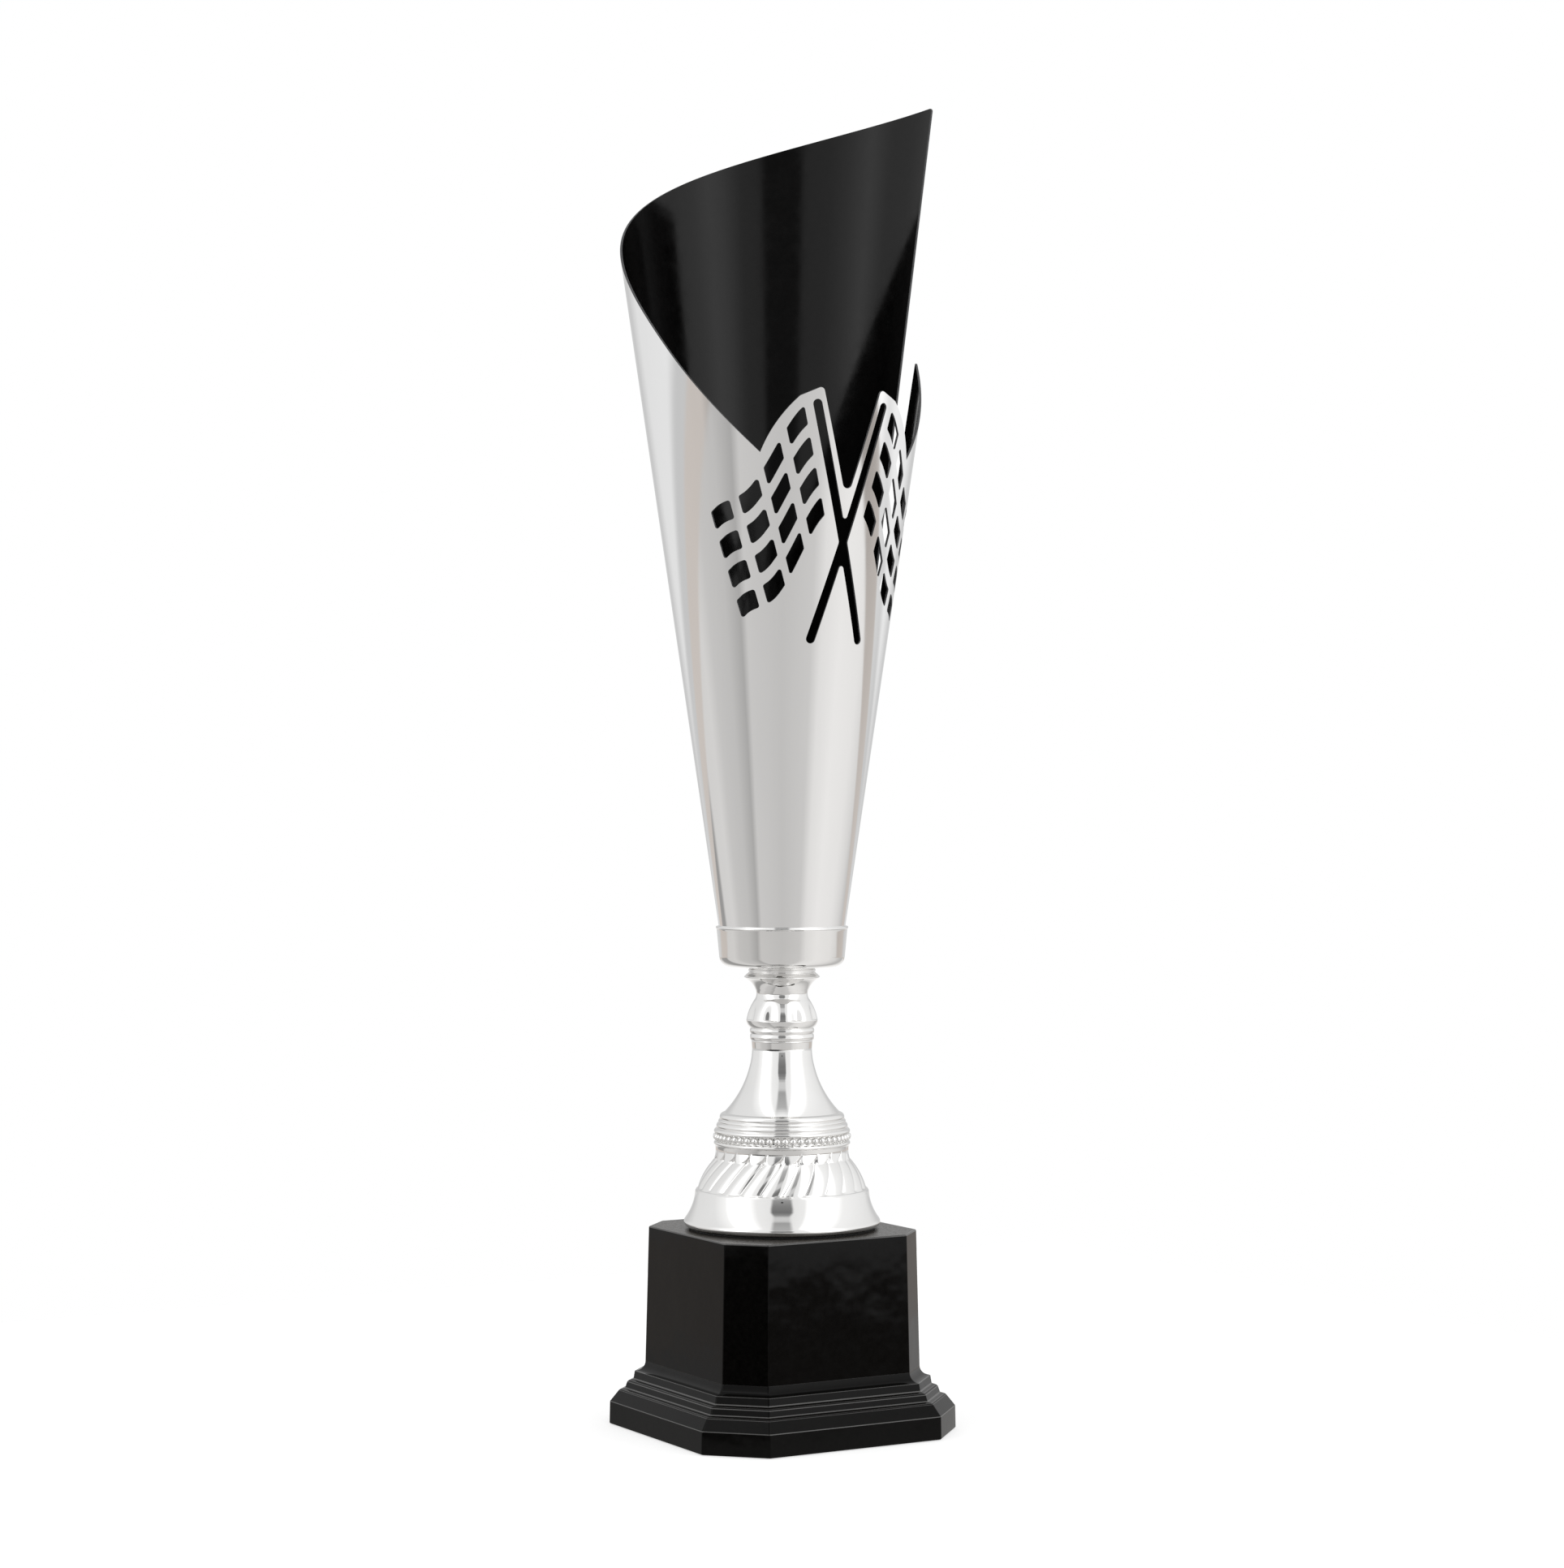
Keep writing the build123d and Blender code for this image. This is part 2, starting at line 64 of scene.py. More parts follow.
CELL_ORIGIN = (-17.98, 317.17)
CELL_COLUMNS = ((-1.0, 4.25), (6.15, 10.75), (12.4, 18.5), (21.5, 28.2))
CELL_ROWS = 4
CELL_PITCH = 10.02
CELL_HEIGHT = 6.3
LEAN_AT_POLE = 15.55
LEAN_GROWTH = 0.245
WAVE_FALL = 1.29
WAVE_HEIGHT = 3.785
WAVE_RATE = 0.225
WAVE_START = -1.706
CELL_CORNER = 0.9
CELL_SHARES = (0, 0.32, 0.44, 0.56, 0.68, 1)

RIM_LINE_END = (68.2, 331.9)
RIM_ARC_MIDDLE = (160.0, 367.4)
RIM_TALL_CORNER = (270.2, 336.2)
SEAM_TURN = 92.0
SEAM_CLOSE_Z = 215.0
SEAM_OPEN_TURN = 80.4
SEAM_OPEN_Z = 362.0
SEAM_GAP = 0.12
SHORT_CORNER_RADIUS = 1.6
TALL_CORNER_RADIUS = 1.0

# The sheet's triangles: turn between columns of points in degrees, and distances in mm.
GRID_TURN = 3.0
GRID_FIRST, GRID_LAST, GRID_STEP = 136.0, 436.0, 6.0
CLEAR_OF_OUTLINE, CLEAR_OF_HOLES = 1.6, 1.0
OUTLINE_STEP, SLOT_STEP = 3.0, 2.5
# The cut edge: how far each row of points stands out, its share of the thickness, and each row's tilt.
EDGE_PUSHES = (0.10, 0.14, 0.10)
EDGE_DEPTHS = (0.2, 0.5, 0.8)
EDGE_TILTS = (0.9, 0.54, 0.0, -0.54, -0.9)

# ---------------------------------------------------------------- small mesh helpers


def link(obj):
    bpy.context.scene.collection.objects.link(obj)
    return obj


def mesh_object(name, points, faces, materials, face_slots=None, normals=None):
    """Mesh from points in millimetres. normals holds one direction per face corner."""
    mesh = bpy.data.meshes.new(name)
    mesh.from_pydata((np.asarray(points, float) * MM).tolist(), [], faces)
    for material in materials:
        mesh.materials.append(material)
    if face_slots is not None:
        mesh.polygons.foreach_set("material_index", np.asarray(face_slots, np.int32))
    mesh.polygons.foreach_set("use_smooth", np.ones(len(mesh.polygons), bool))
    mesh.update()
    if normals is not None:
        mesh.normals_split_custom_set(normals)
    return link(bpy.data.objects.new(name, mesh))


def join(name, parts, material):
    """One mesh from a list of (points, faces)."""
    points, faces, base = [], [], 0
    for part_points, part_faces in parts:
        points.append(np.asarray(part_points, float))
        faces += [tuple(int(i) + base for i in f) for f in part_faces]
        base += len(part_points)
    return mesh_object(name, np.concatenate(points), faces, [material])


def weighted(obj):
    """Smooth shading that keeps flat faces flat."""
    modifier = obj.modifiers.new("weighted", "WEIGHTED_NORMAL")
    modifier.keep_sharp = True
    modifier.weight = 90
    return obj


def three_point_arc(a, b, c, steps):
    """Points of the circle through a, b and c, both ends included."""
    (x1, y1), (x2, y2), (x3, y3) = a, b, c
    d = 2 * (x1 * (y2 - y3) + x2 * (y3 - y1) + x3 * (y1 - y2))
    s1, s2, s3 = x1 * x1 + y1 * y1, x2 * x2 + y2 * y2, x3 * x3 + y3 * y3
    cx = (s1 * (y2 - y3) + s2 * (y3 - y1) + s3 * (y1 - y2)) / d
    cy = (s1 * (x3 - x2) + s2 * (x1 - x3) + s3 * (x2 - x1)) / d
    radius = math.hypot(x1 - cx, y1 - cy)
    first = math.atan2(y1 - cy, x1 - cx)
    middle = math.atan2(y2 - cy, x2 - cx)
    last = math.atan2(y3 - cy, x3 - cx)
    turn = (last - first) % (2 * math.pi)
    if (middle - first) % (2 * math.pi) > turn:
        turn -= 2 * math.pi
    return [
        (cx + radius * math.cos(first + turn * k / steps), cy + radius * math.sin(first + turn * k / steps))
        for k in range(steps + 1)
    ]


def rounded(points, radii, steps=6, closed=True):
    """Polygon with its corners rounded. radii holds one radius per point, and 0 keeps the point."""
    out = []
    count = len(points)
    for i, here in enumerate(points):
        radius = radii[i]
        if radius <= 0 or (not closed and i in (0, count - 1)):
            out.append(tuple(here))
            continue
        here = np.array(here, float)
        before = np.array(points[i - 1], float) - here
        after = np.array(points[(i + 1) % count], float) - here
        len_b, len_a = np.linalg.norm(before), np.linalg.norm(after)
        before, after = before / len_b, after / len_a
        angle = math.acos(float(np.clip(before @ after, -1, 1)))
        if angle > math.pi - 1e-3:
            out.append(tuple(here))
            continue
        back = min(radius / math.tan(angle / 2), 0.48 * len_b, 0.48 * len_a)
        true_radius = back * math.tan(angle / 2)
        bisector = (before + after) / np.linalg.norm(before + after)
        centre = here + bisector * (true_radius / math.sin(angle / 2))
        start, end = here + before * back - centre, here + after * back - centre
        a0 = math.atan2(start[1], start[0])
        sweep = (math.atan2(end[1], end[0]) - a0 + math.pi) % (2 * math.pi) - math.pi
        for k in range(steps + 1):
            a = a0 + sweep * k / steps
            out.append((centre[0] + true_radius * math.cos(a), centre[1] + true_radius * math.sin(a)))
    return out


def inside(points, loop):
    """Even-odd test of many points against one closed loop."""
    px, py = points[:, 0], points[:, 1]
    loop = np.asarray(loop, float)
    hit = np.zeros(len(points), bool)
    for (x1, y1), (x2, y2) in zip(loop, np.roll(loop, -1, axis=0)):
        crosses = (y1 > py) != (y2 > py)
        if y1 != y2:
            hit ^= crosses & (px < (x2 - x1) * (py - y1) / (y2 - y1) + x1)
    return hit


def distance_to(points, loop):
    loop = np.asarray(loop, float)
    best = np.full(len(points), 1e9)
    for a, b in zip(loop, np.roll(loop, -1, axis=0)):
        d = b - a
        share = np.clip(((points - a) @ d) / max(float(d @ d), 1e-12), 0, 1)
        best = np.minimum(best, np.linalg.norm(points - (a + share[:, None] * d), axis=1))
    return best


def divide(points, longest, closed=True):
    """Same path with no step longer than longest."""
    out = []
    count = len(points)
    for i in range(count if closed else count - 1):
        a, b = np.array(points[i], float), np.array(points[(i + 1) % count], float)
        parts = max(1, int(math.ceil(np.linalg.norm(b - a) / longest)))
        out += [tuple(a + (b - a) * k / parts) for k in range(parts)]
    if not closed:
        out.append(tuple(points[-1]))
    return out


# ---------------------------------------------------------------- materials


# The part of its 0 to 1 range that a noise texture mostly fills.
NOISE_RANGE = (0.3, 0.7)


class Paint:
    """A node material with the object's own coordinates at hand."""

    def __init__(self, name):
        self.material = bpy.data.materials.new(name)
        self.material.use_nodes = True
        self.nodes = self.material.node_tree.nodes
        self.links = self.material.node_tree.links
        self.shader = self.nodes["Principled BSDF"]
        self.coords = self.nodes.new("ShaderNodeTexCoord").outputs["Object"]

    def set(self, **values):
        for key, value in values.items():
            self.shader.inputs[key.replace("_", " ")].default_value = value
        return self

    def mapped(self, scale):
        node = self.nodes.new("ShaderNodeMapping")
        node.inputs["Scale"].default_value = scale
        self.links.new(self.coords, node.inputs["Vector"])
        return node.outputs["Vector"]

    def noise(self, scale, detail=3.0, stretch=(1, 1, 1), roughness=0.5):
        node = self.nodes.new("ShaderNodeTexNoise")
        node.inputs["Scale"].default_value = scale
        node.inputs["Detail"].default_value = detail
        node.inputs["Roughness"].default_value = roughness
        self.links.new(self.mapped(stretch), node.inputs["Vector"])
        return node.outputs["Fac"]

    def ramp(self, source, stops):
        """Colour ramp with two stops [(place, colour)]."""
        node = self.nodes.new("ShaderNodeValToRGB")
        for element, (place, colour) in zip(node.color_ramp.elements, stops):
            element.position = place
            element.color = (*colour, 1)
        self.links.new(source, node.inputs["Fac"])
        return node.outputs["Color"]

    def colour(self, source, low, high, places=NOISE_RANGE):
        """Base colour that runs from low to high between two levels of the source."""
        self.drive("Base Color", self.ramp(source, zip(places, (low, high))))

    def spread(self, source, low, high):
        """Number that runs from low to high over the range that noise mostly has."""
        node = self.nodes.new("ShaderNodeMapRange")
        node.inputs["From Min"].default_value = NOISE_RANGE[0]
        node.inputs["From Max"].default_value = NOISE_RANGE[1]
        node.inputs["To Min"].default_value = low
        node.inputs["To Max"].default_value = high
        self.links.new(source, node.inputs["Value"])
        return node.outputs["Result"]

    def drive(self, socket, source):
        self.links.new(source, self.shader.inputs[socket])

    def bump(self, source, distance, strength):
        node = self.nodes.new("ShaderNodeBump")
        node.inputs["Distance"].default_value = distance
        node.inputs["Strength"].default_value = strength
        self.links.new(source, node.inputs["Height"])
        self.links.new(node.outputs["Normal"], self.shader.inputs["Normal"])


def bright_moulding():
    paint = Paint("bright_moulding").set(Metallic=1.0)
    paint.colour(paint.noise(60, 3), (0.865, 0.86, 0.85), (0.90, 0.897, 0.89))
    paint.drive("Roughness", paint.spread(paint.noise(140, 3), 0.03, 0.06))
    paint.bump(paint.noise(38, 2), 0.0003, 0.35)
    return paint.material


def cone_silver():
    paint = Paint("cone_silver").set(Metallic=1.0)
    tone = paint.noise(90, 4, (1, 1, 0.04))
    paint.colour(tone, (0.90, 0.90, 0.90), (0.925, 0.925, 0.925), (0.25, 0.75))
    paint.drive("Roughness", paint.spread(paint.noise(420, 5, (1, 1, 0.2)), 0.03, 0.055))
    paint.bump(paint.noise(14, 1, (1, 1, 0.3)), 0.00012, 0.08)
    return paint.material


def cone_black():
    paint = Paint("cone_black").set(Specular_IOR_Level=0.24)
    paint.colour(paint.noise(500, 4), (0.0012, 0.0011, 0.0011), (0.0028, 0.0026, 0.0025))
    paint.drive("Roughness", paint.spread(paint.noise(180, 4), 0.10, 0.18))
    paint.bump(paint.noise(240, 3), 0.00002, 0.5)
    return paint.material


def edge_dark():
    paint = Paint("cone_edge").set(Metallic=0.3)
    paint.colour(paint.noise(800, 3), (0.05, 0.05, 0.052), (0.07, 0.07, 0.072))
    paint.drive("Roughness", paint.spread(paint.noise(300, 3), 0.35, 0.45))
    return paint.material


def gloss_black(name, shine, low, high):
    paint = Paint(name).set(Specular_IOR_Level=shine)
    paint.drive("Base Color", paint.ramp(paint.noise(700, 4), [(0.3, low), (0.7, high)]))
    paint.drive("Roughness", paint.spread(paint.noise(300, 5), 0.04, 0.08))
    paint.bump(paint.noise(34, 3), 0.0005, 0.35)
    return paint.material


def satin_top():
    paint = Paint("plinth_top").set(Specular_IOR_Level=0.4)
    paint.colour(paint.noise(500, 5), (0.034, 0.031, 0.027), (0.058, 0.053, 0.047))
    paint.drive("Roughness", paint.spread(paint.noise(900, 4), 0.24, 0.38))
    paint.bump(paint.noise(1400, 4), 0.00005, 0.5)
    return paint.material


def felt():
    paint = Paint("pad_felt")
    paint.colour(paint.noise(1600, 6), (0.008, 0.008, 0.009), (0.035, 0.035, 0.037))
    paint.drive("Roughness", paint.spread(paint.noise(900, 3), 0.85, 1.0))
    paint.bump(paint.noise(2600, 6), 0.0004, 0.9)
    return paint.material


def foam():
    paint = Paint("gasket_foam")
    paint.colour(paint.noise(1900, 5), (0.008, 0.008, 0.008), (0.02, 0.02, 0.02))
    paint.drive("Roughness", paint.spread(paint.noise(1200, 3), 0.7, 0.9))
    paint.bump(paint.noise(3000, 4), 0.0002, 0.6)
    return paint.material


def zinc():
    paint = Paint("zinc_steel").set(Metallic=1.0)
    paint.colour(paint.noise(420, 5), (0.52, 0.53, 0.56), (0.68, 0.69, 0.71))
    paint.drive("Roughness", paint.spread(paint.noise(700, 4), 0.22, 0.38))
    paint.bump(paint.noise(1500, 4), 0.00004, 0.5)
    return paint.material


def steel_plate():
    paint = Paint("weight_steel").set(Metallic=1.0)
    paint.colour(paint.noise(120, 6), (0.28, 0.28, 0.29), (0.42, 0.42, 0.43))
    paint.drive("Roughness", paint.spread(paint.noise(400, 4), 0.4, 0.6))
    paint.bump(paint.noise(800, 5), 0.0001, 0.5)
    return paint.material


def satin_black():
    paint = Paint("disc_black")
    paint.colour(paint.noise(900, 4), (0.010, 0.010, 0.010), (0.022, 0.022, 0.022))
    paint.drive("Roughness", paint.spread(paint.noise(1200, 4), 0.35, 0.5))
    paint.bump(paint.noise(2600, 3), 0.00008, 0.6)
    return paint.material


SILVER, BLACK, EDGE = cone_silver(), cone_black(), edge_dark()
BRIGHT, FELT, FOAM = bright_moulding(), felt(), foam()
PLINTH = gloss_black("plinth_black", 0.1, (0.0008, 0.0007, 0.0006), (0.002, 0.0018, 0.0016))
PLINTH_TOP = satin_top()
# Rounded plinth edges: a lighter base colour than the faces, a painted highlight along each edge.
PLINTH_EDGE_PAINTED_HIGHLIGHT = gloss_black("plinth_edge_painted_highlight", 0.9, (0.010, 0.009, 0.008), (0.022, 0.020, 0.018))
ZINC, PLATE, SATIN = zinc(), steel_plate(), satin_black()

# ---------------------------------------------------------------- cone sheet


def flat_to_turn(u, v):
    turn = np.arctan2(u, v) / math.sin(CONE_ANGLE)
    return turn, CONE_APEX_Z + np.hypot(u, v) * math.cos(CONE_ANGLE)


def turn_to_flat(turn_deg, z):
    swing = math.radians(turn_deg) * math.sin(CONE_ANGLE)
    slant = (z - CONE_APEX_Z) / math.cos(CONE_ANGLE)
    return slant * math.sin(swing), slant * math.cos(swing)


def rolled(flat, inward):
    """Flat-pattern points rolled onto the cone, set inward along its normal."""
    flat = np.asarray(flat, float)
    turn, z = flat_to_turn(flat[:, 0], flat[:, 1])
    radius = CONE_SLOPE * (z - CONE_APEX_Z)
    normal = np.stack(
        [
            math.cos(CONE_ANGLE) * np.sin(turn),
            -math.cos(CONE_ANGLE) * np.cos(turn),
            np.full(len(turn), -math.sin(CONE_ANGLE)),
        ],
        axis=1,
    )
    place = np.stack([radius * np.sin(turn), -radius * np.cos(turn), z], axis=1)
    return place - normal * inward, normal


def cell_point(away, down):
    lean = math.radians(LEAN_AT_POLE + LEAN_GROWTH * away)
    fall = WAVE_FALL * away + WAVE_HEIGHT * (math.sin(WAVE_RATE * away + WAVE_START) - math.sin(WAVE_START))
    return (CELL_ORIGIN[0] - away + down * math.sin(lean), CELL_ORIGIN[1] - down * math.cos(lean) - fall)


def cell_loop(near, far, row):
    top, foot = row * CELL_PITCH, row * CELL_PITCH + CELL_HEIGHT
    upper = [cell_point(near + (far - near) * share, top) for share in CELL_SHARES]
    lower = [cell_point(far - (far - near) * share, foot) for share in CELL_SHARES]
    ring = upper + lower
    last = len(CELL_SHARES) - 1
    radii = [0.0] * len(ring)
    for i in (0, last, last + 1, 2 * last + 1):
        radii[i] = CELL_CORNER
    return rounded(ring, radii, 5)


def crossed_slots():
    """The two pole slots as one X-shaped loop, with round ends and soft crotches."""
    half = SLOT_WIDTH / 2
    s, c = math.sin(POLE_ANGLE), math.cos(POLE_ANGLE)
    tip = half / s
    side = half / c
    up, down = POLE_UP, POLE_DOWN

    def on_pole(lean, along, across):
        return (lean * s * along + across * c, POLE_CROSS_V + c * along - lean * s * across)

    ring = [
        (0.0, POLE_CROSS_V + tip),
        on_pole(1, up, -half),
        on_pole(1, up + half, 0),
        on_pole(1, up, half),
        (side, POLE_CROSS_V),
        on_pole(-1, -down, half),
        on_pole(-1, -down - half, 0),
        on_pole(-1, -down, -half),
        (0.0, POLE_CROSS_V - tip),
        on_pole(1, -down, half),
        on_pole(1, -down - half, 0),
        on_pole(1, -down, -half),
        (-side, POLE_CROSS_V),
        on_pole(-1, up, -half),
        on_pole(-1, up + half, 0),
        on_pole(-1, up, half),
    ]
    out = []
    count = len(ring)
    for i, point in enumerate(ring):
        if i in (2, 6, 10, 14):
            out += three_point_arc(ring[i - 1], point, ring[(i + 1) % count], 8)[1:-1]
        elif i in (0, 4, 8, 12):
            radius = CROTCH_RADIUS if i in (0, 8) else SIDE_CROTCH_RADIUS
            corner = rounded([ring[i - 1], point, ring[(i + 1) % count]], [0, radius, 0], 5, closed=False)
            out += corner[1:-1]
        else:
            out.append(point)
    return out


def rim_arc(steps):
    return three_point_arc(RIM_LINE_END, RIM_ARC_MIDDLE, RIM_TALL_CORNER, steps)


def flag_edge():
    """Left flag's edge from its foot up to the notch."""
    slope = math.tan(POLE_ANGLE)
    offset = (SLOT_WIDTH / 2 + POLE_BORDER) / math.cos(POLE_ANGLE)
    notch = (0.0, POLE_CROSS_V + offset / slope)
    side = three_point_arc(FLAG_FOOT, FLAG_SIDE, FLAG_SHOULDER, 14)
    return side + [FLAG_TIP, notch]


def seam_edge_turn(z):
    """Turn of the short edge of the seam at a height."""
    if z <= SEAM_CLOSE_Z:
        return SEAM_TURN
    return SEAM_TURN - (SEAM_TURN - SEAM_OPEN_TURN) * (z - SEAM_CLOSE_Z) / (SEAM_OPEN_Z - SEAM_CLOSE_Z)


def sheet_outline():
    bottom = [turn_to_flat(-(360 - SEAM_TURN) + 360.0 * k / 120, CONE_BOTTOM_Z) for k in range(120)]
    gap = SEAM_GAP / (CONE_SLOPE * (CONE_BOTTOM_Z - CONE_APEX_Z))
    low_turn = SEAM_TURN - math.degrees(gap)
    close_turn = SEAM_TURN - math.degrees(SEAM_GAP / (CONE_SLOPE * (SEAM_CLOSE_Z - CONE_APEX_Z)))
    low, close = turn_to_flat(low_turn, CONE_BOTTOM_Z), turn_to_flat(close_turn, SEAM_CLOSE_Z)
    # short corner: where the mirrored rim meets the short edge of the seam
    rim = [(-FLAG_FOOT[0], FLAG_FOOT[1])] + rim_arc(400)
    corner, past = None, []
    for u, v in rim:
        turn, z = flat_to_turn(u, v)
        if math.degrees(turn) > seam_edge_turn(z):
            corner = (u, v)
            break
        past.append((u, v))
    right_rim = [past[0], RIM_LINE_END] + past[2::12]
    ring = bottom + [low, close]
    radii = [0.0] * len(ring)
    ring.append(corner)
    radii.append(SHORT_CORNER_RADIUS)
    back = right_rim[::-1]
    ring += back
    radii += [0.0] * len(back)
    right_flag = [(-u, v) for u, v in flag_edge()][1:]
    ring += right_flag
    radii += [0.0] * (len(right_flag) - 2) + [FLAG_TIP_RADIUS, NOTCH_RADIUS]
    left_flag = flag_edge()[::-1][1:]
    ring += left_flag
    radii += [FLAG_TIP_RADIUS] + [0.0] * (len(left_flag) - 1)
    left_rim = [(-u, v) for u, v in rim_arc(60)]
    ring += left_rim
    radii += [0.0] * (len(left_rim) - 1) + [TALL_CORNER_RADIUS]
    return rounded(ring, radii, 8)


def cut_outs():
    """The crossed pole slots and the cells of both flags, as closed loops."""
    holes = [divide(crossed_slots(), SLOT_STEP)]
    for near, far in CELL_COLUMNS:
        for row in range(CELL_ROWS):
            left = cell_loop(near, far, row)
            holes.append(left)
            holes.append([(-u, v) for u, v in left])
    return holes


def inner_points(outline, holes):
    """Points all over the sheet and clear of its edges, so that the triangles stay small."""
    grid = []
    turns = np.arange(-(360 - SEAM_TURN) + GRID_TURN / 2, SEAM_TURN, GRID_TURN)
    for slant in np.arange(GRID_FIRST, GRID_LAST, GRID_STEP):
        for turn in turns:
            swing = math.radians(turn) * math.sin(CONE_ANGLE)
            grid.append((slant * math.sin(swing), slant * math.cos(swing)))
    grid = np.array(grid)
    grid = grid[inside(grid, outline)]
    grid = grid[distance_to(grid, outline) > CLEAR_OF_OUTLINE]
    for loop in holes:
        grid = grid[~inside(grid, loop)]
        grid = grid[distance_to(grid, loop) > CLEAR_OF_HOLES]
    return grid


def triangulated(outline, holes):
    """Points and triangles of the flat pattern, all wound the same way."""
    points, edges = [], []
    for loop in [outline] + holes:
        base = len(points)
        points += [Vector(p) for p in loop]
        edges += [(base + i, base + (i + 1) % len(loop)) for i in range(len(loop))]
    points += [Vector(p) for p in inner_points(outline, holes)]
    flat, _, faces, _, _, _ = delaunay_2d_cdt(points, edges, [], 0, 1e-6)
    flat = np.array([tuple(p) for p in flat])
    faces = np.array([f for f in faces if len(f) == 3])
    middle = flat[faces].mean(axis=1)
    good = inside(middle, outline)
    for loop in holes:
        good &= ~inside(middle, loop)
    faces = faces[good]
    a, b, c = flat[faces[:, 0]], flat[faces[:, 1]], flat[faces[:, 2]]
    area = (b[:, 0] - a[:, 0]) * (c[:, 1] - a[:, 1]) - (b[:, 1] - a[:, 1]) * (c[:, 0] - a[:, 0])
    faces = faces[np.abs(area) > 1e-9]
    flip = area[np.abs(area) > 1e-9] < 0
    faces[flip] = faces[flip][:, ::-1]
    return flat, faces


def sheet_border(flat, faces):
    """Boundary edges, the points on them, and each point's direction out of the sheet."""
    directed = {}
    for f in faces:
        for i in range(3):
            directed[(int(f[i]), int(f[(i + 1) % 3]))] = True
    border = [e for e in directed if (e[1], e[0]) not in directed]
    away = {}
    for i, j in border:
        d = flat[j] - flat[i]
        out = np.array([d[1], -d[0]]) / max(np.linalg.norm(d), 1e-9)
        away.setdefault(i, []).append(out)
        away.setdefault(j, []).append(out)
    rows = sorted(away)
    side = np.array([np.mean(away[i], axis=0) for i in rows])
    side /= np.maximum(np.linalg.norm(side, axis=1, keepdims=True), 1e-9)
    return border, rows, side


def cone_sheet():
    """Both faces of the rolled sheet, and a wall with a slightly full middle along every edge."""
    flat, faces = triangulated(divide(sheet_outline(), OUTLINE_STEP), cut_outs())
    outer, normal = rolled(flat, 0.0)
    inner, _ = rolled(flat, SHEET)
    count = len(flat)
    all_points = [outer, inner]
    all_faces = [tuple(f) for f in faces] + [tuple(int(i) + count for i in f[::-1]) for f in faces]
    slots = [0] * len(faces) + [1] * len(faces)
    corner_normals = [normal[i] for f in faces for i in f] + [-normal[i] for f in faces for i in f[::-1]]

    border, rows, side = sheet_border(flat, faces)
    base_flat = flat[rows]
    for push, depth in zip(EDGE_PUSHES, EDGE_DEPTHS):
        all_points.append(rolled(base_flat + side * push, SHEET * depth)[0])
    outward = rolled(base_flat + side, 0.0)[0] - rolled(base_flat, 0.0)[0]
    outward /= np.linalg.norm(outward, axis=1, keepdims=True)
    levels = [rows]
    for level in range(len(EDGE_DEPTHS)):
        levels.append([2 * count + level * len(rows) + k for k in range(len(rows))])
    levels.append([i + count for i in rows])
    level_normals = [outward * math.cos(tilt) + normal[rows] * math.sin(tilt) for tilt in EDGE_TILTS]
    place = {i: k for k, i in enumerate(rows)}
    for i, j in border:
        ki, kj = place[i], place[j]
        for level in range(len(levels) - 1):
            upper, lower = levels[level], levels[level + 1]
            all_faces.append((upper[kj], upper[ki], lower[ki], lower[kj]))
            slots.append(2)
            corner_normals += [
                level_normals[level][kj],
                level_normals[level][ki],
                level_normals[level + 1][ki],
                level_normals[level + 1][kj],
            ]
    return mesh_object(
        "cone_sheet_skin",
        np.concatenate(all_points),
        [tuple(int(i) for i in f) for f in all_faces],
        [SILVER, BLACK, EDGE],
        slots,
        [tuple(n) for n in corner_normals],
    )


# ---------------------------------------------------------------- heights of the stack, in mm
PLINTH_TOP_Z = 66.7
BELL_FOOT_Z, BELL_TOP_Z = 67.4, 129.92
KNOB_FOOT_Z, KNOB_TOP_Z = 129.9, 152.22
COLLAR_FOOT_Z, COLLAR_FLOOR_Z, COLLAR_TOP_Z = 152.18, 156.6, 168.2
DISC_FOOT_Z, DISC_FLOOR_Z, DISC_TOP_Z = 157.8, 162.0, 166.0
LOCK_WASHER_Z, NUT_Z = 163.6, 165.2
ROD_HOLE_RADIUS = 3.3
WASHER_THICKNESS = 1.6

# ---------------------------------------------------------------- lathe work


def lathe_rows(profile, turns, shape=None):
    """Points and quads of a turned profile [(r, z)], with shape(r, z, angle) bending it."""
    profile = np.asarray(profile, float)
    angle = np.linspace(0, 2 * math.pi, turns, endpoint=False)
    r = np.repeat(profile[:, :1], turns, axis=1)
    z = np.repeat(profile[:, 1:], turns, axis=1)
    a = np.repeat(angle[None, :], len(profile), axis=0)
    if shape is not None:
        r = shape(r, z, a)
    points = np.stack([r * np.sin(a), -r * np.cos(a), z], axis=-1).reshape(-1, 3)
    faces = []
    for i in range(len(profile) - 1):
        for k in range(turns):
            n = (k + 1) % turns
            faces.append((i * turns + k, i * turns + n, (i + 1) * turns + n, (i + 1) * turns + k))
    return points, faces


def soft_profile(pieces, corner=0.2, longest=0.5):
    """Path through lines and three-point arcs, with every corner rounded. An arc is (middle, end)."""
    path = [pieces[0]]
    corners = [0]
    for piece in pieces[1:]:
        if isinstance(piece[0], tuple):
            middle, end = piece
            arc = three_point_arc(path[-1], middle, end, 18)
            path += arc[1:]
        else:
            path.append(piece)
        corners.append(len(path) - 1)
    radii = [corner if i in corners else 0.0 for i in range(len(path))]
    return divide(rounded(path, radii, 4, closed=False), longest, closed=False)


